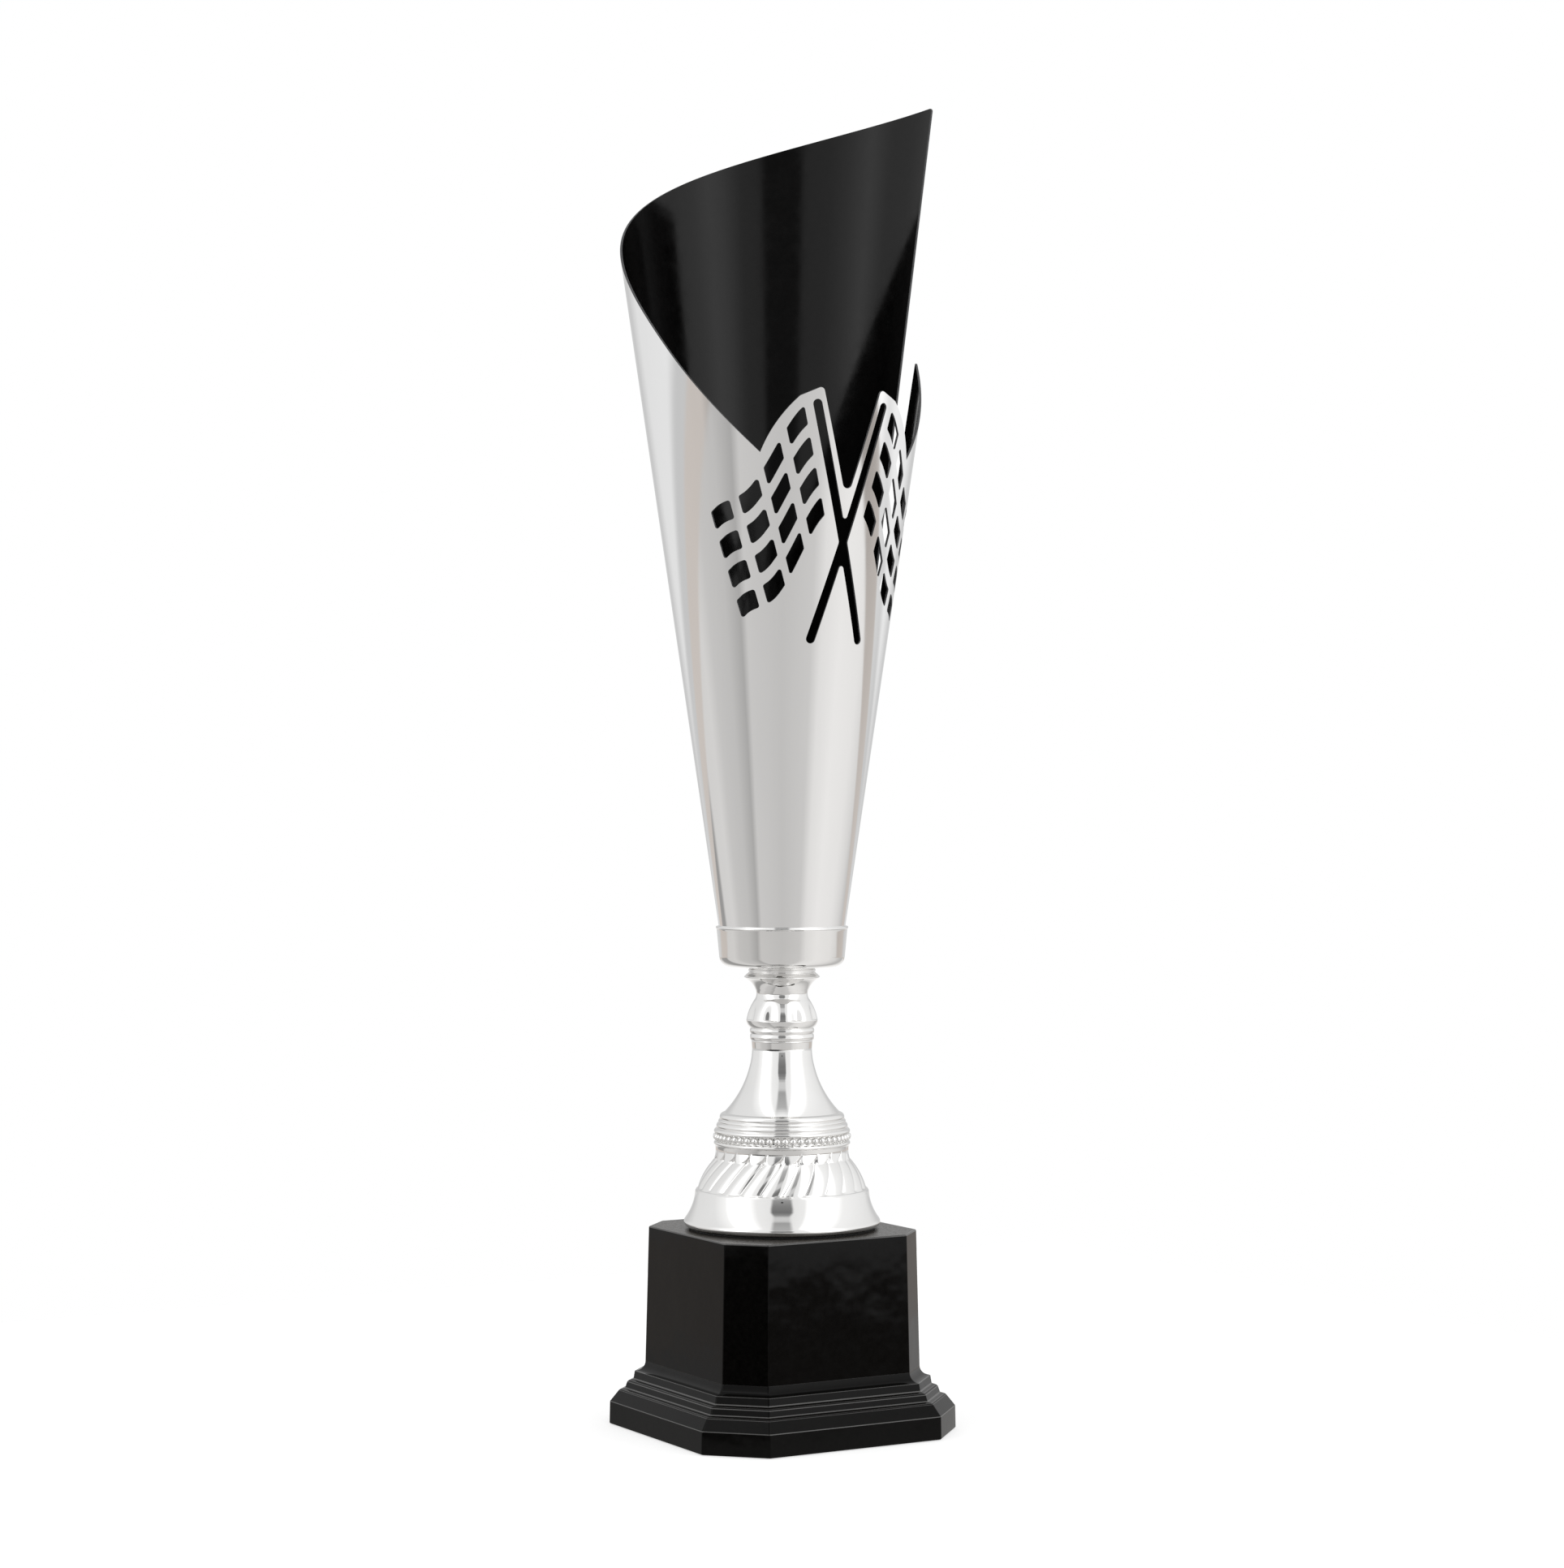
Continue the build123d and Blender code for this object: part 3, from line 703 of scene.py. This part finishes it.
def bead(centre, radius, lobes=12):
    points, faces = [], []
    for i in range(1, lobes):
        polar = math.pi * i / lobes
        for k in range(lobes):
            a = 2 * math.pi * k / lobes
            points.append(
                (
                    centre[0] + radius * math.sin(polar) * math.cos(a),
                    centre[1] + radius * math.sin(polar) * math.sin(a),
                    centre[2] + radius * math.cos(polar),
                )
            )
    for i in range(lobes - 2):
        for k in range(lobes):
            n = (k + 1) % lobes
            faces.append((i * lobes + k, (i + 1) * lobes + k, (i + 1) * lobes + n, i * lobes + n))
    top = len(points)
    points.append((centre[0], centre[1], centre[2] + radius))
    points.append((centre[0], centre[1], centre[2] - radius))
    last = (lobes - 2) * lobes
    for k in range(lobes):
        n = (k + 1) % lobes
        faces.append((top, k, n))
        faces.append((top + 1, last + n, last + k))
    return points, faces


GADROONS = 24
GADROON_COLUMNS = 24
GADROON_TWIST = math.radians(18.0)
GADROON_LOW, GADROON_HIGH = 80.1, 93.8
TONGUE_LOW = 90.0
GADROON_DEPTH = 1.0
TONGUE_STEP = 0.28
BEADS = 53
BEAD_RING_RADIUS, BEAD_RING_Z, BEAD_RADIUS = 22.0, 97.6, 1.25


def smooth(share):
    share = np.clip(share, 0, 1)
    return share * share * (3 - 2 * share)


def gadroon_shape(r, z, a):
    """Swirled lobes with sharp valleys. The plain neck above runs down onto each one as a round tongue."""
    share = (z - GADROON_LOW) / (GADROON_HIGH - GADROON_LOW)
    phase = (a - GADROON_TWIST * share) * GADROONS / (2 * math.pi)
    lobe = np.abs(2 * (phase - np.floor(phase)) - 1)
    down = np.clip((GADROON_HIGH - z) / (GADROON_HIGH - TONGUE_LOW), 0, 1)
    tongue = np.sqrt(np.clip(1 - down**2, 0, 1))
    across = np.clip((lobe - tongue) / np.maximum(1 - tongue, 1e-3), 0, 1)
    dome = 1 - np.sqrt(np.clip(1 - 0.96 * across**2, 0, 1))
    ledge = TONGUE_STEP * smooth(across / 0.12) * smooth(tongue / 0.5)
    foot = smooth((z - GADROON_LOW) / 0.5)
    depth = (GADROON_DEPTH * dome * (0.35 + 0.65 * smooth(down)) + ledge) * foot
    swirled = (r > 15) & (z > GADROON_LOW) & (z < GADROON_HIGH)
    return np.where(swirled, r - depth, r)


def riser_bell():
    pieces = [
        (29.3, BELL_FOOT_Z),
        (31.7, BELL_FOOT_Z),
        ((33.0, 68.6), (32.7, 70.0)),
        ((30.45, 74.0), (29.2, 79.4)),
        (28.9, 79.95),
        (28.5, 80.1),
        ((26.75, 84.4), (22.9, 90.0)),
        ((22.4, 92.0), (22.4, 94.4)),
        (22.5, 94.8),
        ((22.95, 95.45), (22.6, 96.05)),
        (21.7, 96.2),
        (21.7, 99.0),
        (22.85, 99.15),
        ((22.85, 99.7), (22.3, 100.3)),
        (21.8, 100.4),
        ((22.1, 101.3), (21.35, 102.3)),
        ((21.45, 102.85), (20.8, 103.4)),
        ((20.9, 104.6), (19.9, 105.5)),
        (19.4, 105.7),
        ((14.2, 112.7), (10.85, 121.3)),
        ((10.25, 124.3), (10.1, 127.3)),
        (10.3, BELL_TOP_Z),
        (8.0, BELL_TOP_Z),
    ]
    inner_wall = [
        (ROD_HOLE_RADIUS, BELL_TOP_Z),
        (ROD_HOLE_RADIUS, BELL_FOOT_Z),
        (5.6, BELL_FOOT_Z),
        (5.6, 120.0),
        (8.6, 118.0),
        (18.9, 102.0),
        (19.4, 89.5),
        (27.5, 76.5),
        (29.3, 70.5),
        (29.3, BELL_FOOT_Z),
    ]
    profile = soft_profile(pieces, 0.15, 0.42) + inner_wall
    points, faces = lathe_rows(profile, GADROON_COLUMNS * GADROONS, gadroon_shape)
    parts = [(points, faces)]
    for k in range(BEADS):
        a = 2 * math.pi * k / BEADS
        centre = (BEAD_RING_RADIUS * math.sin(a), -BEAD_RING_RADIUS * math.cos(a), BEAD_RING_Z)
        parts.append(bead(centre, BEAD_RADIUS))
    return join("riser_bell_skin", parts, BRIGHT)


PETALS = 8
PETAL_TURN = math.radians(-27.3)
PETAL_LOW, PETAL_HIGH = 136.7, 144.0
PETAL_DEPTH = 0.95


def knob_shape(r, z, a):
    """Round-topped petals: soft valleys that deepen downward and stop at a ledge."""
    share = np.clip((PETAL_HIGH - z) / (PETAL_HIGH - PETAL_LOW), 0, 1)
    valley = (0.5 - 0.5 * np.cos((a - PETAL_TURN) * PETALS)) ** 2
    ledge = smooth((z - PETAL_LOW) / 0.35)
    depth = (PETAL_DEPTH * valley * smooth(share / 0.8) + 0.12 * smooth(share / 0.3)) * ledge
    return np.where((z > PETAL_LOW) & (z < PETAL_HIGH) & (r > 6), r - depth, r)


def riser_knob():
    pieces = [
        (8.0, KNOB_FOOT_Z),
        (10.3, KNOB_FOOT_Z),
        (10.6, 130.1),
        ((10.75, 131.0), (10.6, 131.9)),
        (10.45, 132.1),
        (10.65, 132.3),
        ((10.85, 133.0), (10.7, 133.8)),
        (10.5, 134.0),
        (10.9, 134.3),
        ((11.75, 135.6), (12.0, 137.2)),
        ((11.0, 140.5), (9.2, 143.6)),
        ((8.6, 145.4), (9.0, 147.1)),
        ((10.3, 149.2), (12.45, 150.9)),
        ((12.7, 151.2), (12.45, 151.5)),
        (11.8, KNOB_TOP_Z),
        (8.0, KNOB_TOP_Z),
    ]
    bore = [(ROD_HOLE_RADIUS, KNOB_TOP_Z), (ROD_HOLE_RADIUS, KNOB_FOOT_Z), (8.0, KNOB_FOOT_Z)]
    profile = soft_profile(pieces, 0.12, 0.3) + bore
    points, faces = lathe_rows(profile, 384, knob_shape)
    return join("riser_knob_skin", [(points, faces)], BRIGHT)


def cup_collar():
    clearance = 0.08
    top_seat = CONE_SLOPE * (COLLAR_TOP_Z - CONE_APEX_Z) + clearance
    floor_seat = CONE_SLOPE * (COLLAR_FLOOR_Z - CONE_APEX_Z) + clearance
    pieces = [
        (8.0, COLLAR_FOOT_Z),
        (11.8, 152.2),
        (11.0, 152.9),
        ((11.3, 153.4), (11.0, 153.9)),
        (10.9, 154.1),
        (12.4, 154.35),
        (18.2, 154.8),
        ((20.3, 156.0), (21.15, 158.2)),
        (22.0, 167.35),
        (22.25, 167.6),
        (22.25, COLLAR_TOP_Z),
        (top_seat, COLLAR_TOP_Z),
        (floor_seat, COLLAR_FLOOR_Z),
        (ROD_HOLE_RADIUS, COLLAR_FLOOR_Z),
        (ROD_HOLE_RADIUS, COLLAR_FOOT_Z),
        (8.0, COLLAR_FOOT_Z),
    ]
    profile = soft_profile(pieces, 0.2, 0.5)
    points, faces = lathe_rows(profile, 256)
    return join("cup_collar_skin", [(points, faces)], BRIGHT)


def clamp_disc():
    clearance = 0.05
    groove_z = DISC_TOP_Z - 0.6

    def grip(z):
        return CONE_SLOPE * (z - CONE_APEX_Z) - SHEET / math.cos(CONE_ANGLE) - clearance

    pieces = [
        (ROD_HOLE_RADIUS, DISC_FOOT_Z),
        (grip(DISC_FOOT_Z), DISC_FOOT_Z),
        (grip(DISC_TOP_Z), DISC_TOP_Z),
        (17.0, DISC_TOP_Z),
        (16.4, groove_z),
        (15.6, groove_z),
        (15.0, DISC_TOP_Z),
        (14.5, DISC_TOP_Z),
        (13.5, DISC_FLOOR_Z),
        (ROD_HOLE_RADIUS, DISC_FLOOR_Z),
        (ROD_HOLE_RADIUS, DISC_FOOT_Z),
    ]
    profile = soft_profile(pieces, 0.3, 0.6)
    points, faces = lathe_rows(profile, 128)
    return join("clamp_disc_body", [(points, faces)], SATIN)


def washer(name, bottom):
    outer, inner, thick = 9.0, ROD_HOLE_RADIUS, WASHER_THICKNESS
    pieces = [
        (inner, bottom + 0.2),
        (inner + 0.2, bottom),
        (outer, bottom),
        (outer, bottom + thick),
        (inner, bottom + thick),
        (inner, bottom + 0.2),
    ]
    profile = soft_profile(pieces, 0.25, 0.8)
    points, faces = lathe_rows(profile, 96)
    return join(name, [(points, faces)], ZINC)


def split_washer(name, bottom):
    """Square-section ring, split at one side."""
    inner, outer, thick = ROD_HOLE_RADIUS, 5.9, WASHER_THICKNESS
    ring = rounded([(inner, 0), (outer, 0), (outer, thick), (inner, thick)], [0.15] * 4, 2)
    steps = 72
    gap = math.radians(10)
    points, faces = [], []
    for k in range(steps + 1):
        share = k / steps
        a = math.radians(90) + gap / 2 + (2 * math.pi - gap) * share
        for r, z in ring:
            points.append((r * math.sin(a), -r * math.cos(a), bottom + z))
    count = len(ring)
    for k in range(steps):
        for i in range(count):
            n = (i + 1) % count
            faces.append((k * count + n, k * count + i, (k + 1) * count + i, (k + 1) * count + n))
    faces.append(tuple(range(count)))
    faces.append(tuple(steps * count + i for i in range(count))[::-1])
    return weighted(join(name, [(points, faces)], ZINC))


def hex_nut(name, bottom):
    """Hexagon whose corners are turned down at both faces, with a plain chamfered hole."""
    flats, height, steps = 10.0, 5.0, 72
    inner, mouth, chamfer = 2.6, 3.2, 0.6
    rings = []
    for depth, top in ((0, False), (0.25, False), (0.6, False), (0.6, True), (0.25, True), (0, True)):
        z = bottom + (height - depth if top else depth)
        limit = flats / 2 * 0.98 + depth / math.tan(math.radians(30))
        row = []
        for k in range(steps):
            a = 2 * math.pi * k / steps
            r = min(flats / 2 / math.cos((a % (math.pi / 3)) - math.pi / 6), limit)
            row.append((r * math.sin(a), -r * math.cos(a), z))
        rings.append(row)
    hole = [
        (mouth, bottom + height),
        (inner, bottom + height - chamfer),
        (inner, bottom + chamfer),
        (mouth, bottom),
    ]
    turns = [2 * math.pi * k / steps for k in range(steps)]
    for r, z in hole:
        rings.append([(r * math.sin(a), -r * math.cos(a), z) for a in turns])
    points = [p for row in rings for p in row]
    faces = []
    for i in range(len(rings)):
        j = (i + 1) % len(rings)
        for k in range(steps):
            n = (k + 1) % steps
            faces.append((i * steps + k, i * steps + n, j * steps + n, j * steps + k))
    obj = join(name, [(points, faces)], ZINC)
    obj.data.polygons.foreach_set("use_smooth", np.zeros(len(obj.data.polygons), bool))
    return obj


def threaded_rod():
    """M6 rod with a helical groove and chamfered ends."""
    low, high, pitch, outer, depth = 2.2, 174.0, 1.0, 3.0, 0.55
    end_radius, end_slope = 2.35, 0.9
    steps = 32
    per_pitch = 6
    rows = int((high - low) / pitch * per_pitch)
    points, faces = [], []
    for i in range(rows + 1):
        z = low + (high - low) * i / rows
        for k in range(steps):
            a = 2 * math.pi * k / steps
            phase = (z / pitch - k / steps) % 1.0
            groove = 1 - abs(2 * phase - 1)
            # crest and root are each flat over a tenth of the pitch
            r = outer - depth * min(1, max(0, groove * 1.25 - 0.125))
            end = min(z - low, high - z)
            r = min(r, end_radius + end * end_slope)
            points.append((r * math.sin(a), -r * math.cos(a), z))
    for i in range(rows):
        for k in range(steps):
            n = (k + 1) % steps
            faces.append((i * steps + k, i * steps + n, (i + 1) * steps + n, (i + 1) * steps + k))
    faces.append(tuple(range(steps))[::-1])
    faces.append(tuple(rows * steps + k for k in range(steps)))
    return join("tie_rod_thread", [(points, faces)], ZINC)


# ---------------------------------------------------------------- plinth


def corner_leg(half):
    """Length that each cut corner takes off a side, at a half width of the plinth."""
    return 10.45 + 0.477 * (half - 36.8)


def octagon(half, z):
    """Square with cut corners, every corner rounded."""
    radius, steps = 1.0, 5
    leg = corner_leg(half)
    near = half - leg
    ring = [
        (half, -near),
        (half, near),
        (near, half),
        (-near, half),
        (-half, near),
        (-half, -near),
        (-near, -half),
        (near, -half),
    ]
    return [(x, y, z) for x, y in rounded(ring, [radius] * 8, steps)]


# Steps shorter than this belong to a rounded edge of the outline, whose lighter base colour is a painted
# highlight. Edges below EDGE_LOW keep the faces' material, and the flat top has its own.
ROUNDED_STEP = 0.21
EDGE_LOW = 5.0


def base_shell():
    pieces = [
        (45.8, 1.6),
        (46.2, 0.0),
        (48.6, 0.0),
        (48.45, 7.6),
        (45.8, 11.3),
        (45.3, 11.7),
        (43.95, 12.05),
        (43.3, 14.2),
        (42.7, 14.7),
        (41.45, 15.1),
        (41.05, 17.8),
        ((39.0, 18.6), (37.85, 21.0)),
        (36.8, PLINTH_TOP_Z),
        (30.0, PLINTH_TOP_Z),
    ]
    cavity = [(34.4, 64.2), (35.6, 18.0), (45.3, 6.0)]
    profile = cavity + soft_profile(pieces, 0.5, 6.0)
    rings = [octagon(h, z) for h, z in profile]
    count = len(rings[0])
    points = [p for ring in rings for p in ring]
    faces, edges, top = [], [], []
    for i in range(len(rings) - 1):
        step = math.dist(profile[i], profile[i + 1])
        row = edges if step < ROUNDED_STEP and profile[i][1] > EDGE_LOW else faces
        if min(profile[i][1], profile[i + 1][1]) > PLINTH_TOP_Z - 0.02:
            row = top
        for k in range(count):
            n = (k + 1) % count
            row.append((i * count + k, i * count + n, (i + 1) * count + n, (i + 1) * count + k))
    last = (len(rings) - 1) * count
    top.append(tuple(last + k for k in range(count)))
    faces.append(tuple(range(count))[::-1])
    slots = [0] * len(faces) + [1] * len(edges) + [2] * len(top)
    materials = [PLINTH, PLINTH_EDGE_PAINTED_HIGHLIGHT, PLINTH_TOP]
    return weighted(mesh_object("base_shell_skin", points, faces + edges + top, materials, slots))


def bottom_pad():
    profile = [(45.7, 1.4), (45.75, 0.25), (45.5, 0.0), (40.0, 0.0)]
    rings = [octagon(h, z) for h, z in profile]
    count = len(rings[0])
    points = [p for ring in rings for p in ring]
    faces = []
    for i in range(len(rings) - 1):
        for k in range(count):
            n = (k + 1) % count
            faces.append((i * count + n, i * count + k, (i + 1) * count + k, (i + 1) * count + n))
    last = (len(rings) - 1) * count
    faces.append(tuple(last + k for k in range(count))[::-1])
    faces.append(tuple(range(count)))
    return join("bottom_pad_felt", [(points, faces)], FELT)


def gasket():
    hole, edge, middle_z, top_z = 5.0, 31.2, 67.0, 67.3
    pieces = [
        (hole, PLINTH_TOP_Z),
        (edge, PLINTH_TOP_Z),
        ((31.35, middle_z), (edge, top_z)),
        (hole, top_z),
        (hole, PLINTH_TOP_Z),
    ]
    profile = soft_profile(pieces, 0.1, 3.0)
    points, faces = lathe_rows(profile, 160)
    return join("riser_gasket_foam", [(points, faces)], FOAM)


# ---------------------------------------------------------------- assembly

BUILT = [
    (cone_sheet(), "cone_sheet", "cone_bright"),
    (riser_bell(), "riser_bell", "bright_moulding"),
    (riser_knob(), "riser_knob", "bright_moulding"),
    (cup_collar(), "cup_collar", "bright_moulding"),
    (clamp_disc(), "clamp_disc", "disc_black"),
    (washer("top_washer_ring", DISC_FLOOR_Z), "top_washer", "zinc_steel"),
    (split_washer("top_lock_washer_ring", LOCK_WASHER_Z), "top_lock_washer", "zinc_steel"),
    (hex_nut("top_nut_hex", NUT_Z), "top_nut", "zinc_steel"),
    (threaded_rod(), "tie_rod", "zinc_steel"),
    (base_shell(), "base_shell", "plinth_black"),
    (bottom_pad(), "bottom_pad", "pad_felt"),
    (gasket(), "riser_gasket", "gasket_foam"),
]
for piece, node, slot in BUILT:
    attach(piece, "root")
    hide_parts(node)

HIDDEN = {"ballast_plate": PLATE, "bottom_washer": ZINC, "bottom_lock_washer": ZINC, "bottom_nut": ZINC}
for node, material in HIDDEN.items():
    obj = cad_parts[node]
    obj.data.materials.clear()
    obj.data.materials.append(material)

# ---------------------------------------------------------------- stage


def flat_paint(name, colour):
    """Matt paint, with hardly any change of tone."""
    paint = Paint(name).set(Roughness=0.9)
    paint.colour(paint.noise(3, 2), colour, tuple(share * 1.01 for share in colour))
    return paint


def panel(name, centre, size, facing, material, camera=False):
    """Rectangle, in metres, that faces a point."""
    half_w, half_h = size[0] / 2, size[1] / 2
    mesh = bpy.data.meshes.new(name)
    corners = [(-half_w, -half_h, 0), (half_w, -half_h, 0), (half_w, half_h, 0), (-half_w, half_h, 0)]
    mesh.from_pydata(corners, [], [(0, 1, 2, 3)])
    mesh.materials.append(material)
    obj = link(bpy.data.objects.new(name, mesh))
    obj.location = centre
    direction = Vector(facing) - Vector(centre)
    obj.rotation_mode = "QUATERNION"
    obj.rotation_quaternion = direction.to_track_quat("Z", "Y")
    obj.visible_camera = camera
    return obj


VIEW_TURN = math.radians(-30.0)
CAMERA_DISTANCE, CAMERA_Z = 1.175, 0.216


def around(turn_deg, distance, z):
    """Point at a turn from the camera's own direction, + to its right."""
    a = VIEW_TURN + math.radians(turn_deg)
    return (distance * math.sin(a), -distance * math.cos(a), z)


# What the bright metal sees: brightness by turn from the camera, in degrees, + to its right. TABLE is
# the pale table below the horizon and SHADE the shaded strip at its far edge. HORIZON is the narrow
# band above that, and LIGHTS the two wide soft lights.
TABLE = [
    (-180, 1.0), (-167, 0.93), (-156, 0.66), (-146, 0.36), (-126, 0.33), (-119, 0.68), (-98, 0.70),
    (-84, 0.60), (-62, 0.56), (-45, 0.43), (-38, 0.62), (0, 0.57), (32, 0.63), (44, 0.80),
    (66, 0.88), (98, 0.84), (120, 0.72), (134, 0.58), (146, 0.50), (158, 0.78), (170, 0.94), (180, 1.0),
]
SHADE = [
    (-180, 0.7), (-135, 0.62), (-105, 0.62), (-70, 0.6), (-45, 0.02), (-15, 0.02), (5, 0.4),
    (45, 0.33), (75, 0.33), (100, 0.5), (140, 0.6), (180, 0.6),
]
HORIZON = [
    (-180, 0.8), (-135, 0.6), (-105, 0.6), (-70, 0.6), (-45, 0.05), (-15, 0.05), (5, 0.6),
    (45, 1.5), (75, 1.5), (100, 0.8), (140, 0.6), (180, 0.8),
]
LIGHTS = [
    (-180, 0.66), (-158, 0.60), (-140, 0.80), (-100, 0.85), (-80, 1.05), (-64, 1.9), (-48, 1.3),
    (-34, 0.95), (0, 0.85), (30, 0.95), (44, 1.8), (54, 2.0), (68, 1.4), (88, 1.0), (140, 0.85),
    (158, 0.62), (180, 0.66),
]
# Heights in degrees above the horizon between which each band gives way to the next.
TABLE_TOP, SHADE_TOP, LIGHT_FOOT = (-8.2, -7.8), (-6.0, -5.7), (-4.7, -3.2)
# Tints of the table and of the shaded strip.
WARM, BROWN = (1.0, 0.985, 0.97), (1.0, 0.92, 0.86)
# The gap between the two lights, right behind the camera: half width and brightness by height.
GAP_WIDTH = [(0, 0.20), (20, 0.22), (28, 0.21), (36, 0.15), (75, 0.13)]
GAP_LEVEL = [
    (0, 0.36), (14, 0.24), (28, 0.18), (34, 0.30), (39, 0.66), (46, 0.66), (51, 0.38), (70, 0.48),
    (80, 0.98),
]
GAP_SOFT_EDGE, GAP_FOOT = (-0.03, 0.05), (-3.0, -1.0)


def studio_world():
    """World that the metal mirrors: bands by height, each lit by its ring. The camera itself sees white."""
    world = bpy.data.worlds.new("studio")
    bpy.context.scene.world = world
    world.use_nodes = True
    nodes, links = world.node_tree.nodes, world.node_tree.links

    def maths(kind, *values):
        node = nodes.new("ShaderNodeMath")
        node.operation = kind
        for socket, value in zip(node.inputs, values):
            if isinstance(value, (int, float)):
                socket.default_value = value
            else:
                links.new(value, socket)
        return node.outputs[0]

    def between(value, low, high):
        node = nodes.new("ShaderNodeMapRange")
        node.interpolation_type = "SMOOTHSTEP"
        node.inputs["From Min"].default_value = low
        node.inputs["From Max"].default_value = high
        links.new(value, node.inputs["Value"])
        return node.outputs["Result"]

    def mix(factor, first, second):
        node = nodes.new("ShaderNodeMix")
        node.data_type = "RGBA"
        links.new(factor, node.inputs["Factor"])
        sockets = [socket for socket in node.inputs if socket.type == "RGBA"]
        for socket, value in zip(sockets, (first, second)):
            if isinstance(value, tuple):
                socket.default_value = value
            else:
                links.new(value, socket)
        return [socket for socket in node.outputs if socket.type == "RGBA"][0]

    split = nodes.new("ShaderNodeSeparateXYZ")
    links.new(nodes.new("ShaderNodeTexCoord").outputs["Generated"], split.inputs[0])
    x, y, z = split.outputs
    s, c = math.sin(VIEW_TURN), math.cos(VIEW_TURN)
    towards = maths("SUBTRACT", maths("MULTIPLY", x, s), maths("MULTIPLY", y, c))
    sideways = maths("ADD", maths("MULTIPLY", x, c), maths("MULTIPLY", y, s))
    turn = maths("ADD", maths("DIVIDE", maths("ARCTAN2", sideways, towards), 2 * math.pi), 0.5)
    height = maths("MULTIPLY", maths("ARCSINE", z), 180 / math.pi)

    def curve(source, stops):
        node = nodes.new("ShaderNodeValToRGB")
        elements = node.color_ramp.elements
        while len(elements) < len(stops):
            elements.new(0.5)
        for element, (position, colour) in zip(elements, stops):
            element.position = position
            element.color = (*colour, 1)
        links.new(source, node.inputs[0])
        return node.outputs["Color"]

    def ring(stops, tint=(1.0, 1.0, 1.0)):
        return curve(turn, [((deg + 180) / 360, [level * share for share in tint]) for deg, level in stops])

    def by_height(stops):
        return curve(maths("DIVIDE", height, 90), [(deg / 90, [level] * 3) for deg, level in stops])

    low = mix(between(height, *TABLE_TOP), ring(TABLE, WARM), ring(SHADE, BROWN))
    low = mix(between(height, *SHADE_TOP), low, ring(HORIZON))
    room = mix(between(height, *LIGHT_FOOT), low, ring(LIGHTS))
    past_edge = maths("SUBTRACT", maths("ABSOLUTE", sideways), by_height(GAP_WIDTH))
    beside = between(past_edge, *GAP_SOFT_EDGE)
    above = maths("MULTIPLY", between(height, *GAP_FOOT), maths("GREATER_THAN", towards, 0.0))
    gap = maths("MULTIPLY", maths("SUBTRACT", 1.0, beside), above)
    seen = mix(gap, room, by_height(GAP_LEVEL))
    camera_ray = nodes.new("ShaderNodeLightPath").outputs["Is Camera Ray"]
    links.new(mix(camera_ray, seen, (1.0, 1.0, 1.0, 1.0)), nodes["Background"].inputs["Color"])


studio_world()

FLOOR_SIZE, FLOOR_Z = 0.7, -0.0002
# White paper with a faint shadow. The metal mirrors the world's table and not this sheet.
PAPER = flat_paint("floor_white", (0.5, 0.5, 0.5)).set(Emission_Color=(1, 1, 1, 1), Emission_Strength=0.62)
floor = panel("floor", (0, 0, FLOOR_Z), (FLOOR_SIZE, FLOOR_SIZE), (0, 0, 5), PAPER.material, camera=True)
floor.visible_glossy = False

# A small dark card just behind the camera, which the metal mirrors.
CARD_SIZE, CARD_Z, CARD_BEHIND = 0.06, 0.22, 0.06
LENS = flat_paint("lens_black", (0.01, 0.01, 0.01)).material
card_place = around(0, CAMERA_DISTANCE + CARD_BEHIND, CARD_Z)
panel("camera_front", card_place, (CARD_SIZE, CARD_SIZE), (0, 0, 0.2), LENS)

CAMERA_SENSOR, CAMERA_LENS = 36.0, 80.1242236

camera_data = bpy.data.cameras.new("camera")
camera_data.sensor_width = CAMERA_SENSOR
camera_data.lens = CAMERA_LENS
camera = link(bpy.data.objects.new("camera", camera_data))
camera.location = around(0, CAMERA_DISTANCE, CAMERA_Z)
camera.rotation_mode = "QUATERNION"
camera.rotation_quaternion = (Vector((0, 0, CAMERA_Z)) - camera.location).to_track_quat("-Z", "Y")
bpy.context.scene.camera = camera
bpy.context.scene.view_settings.view_transform = "Standard"
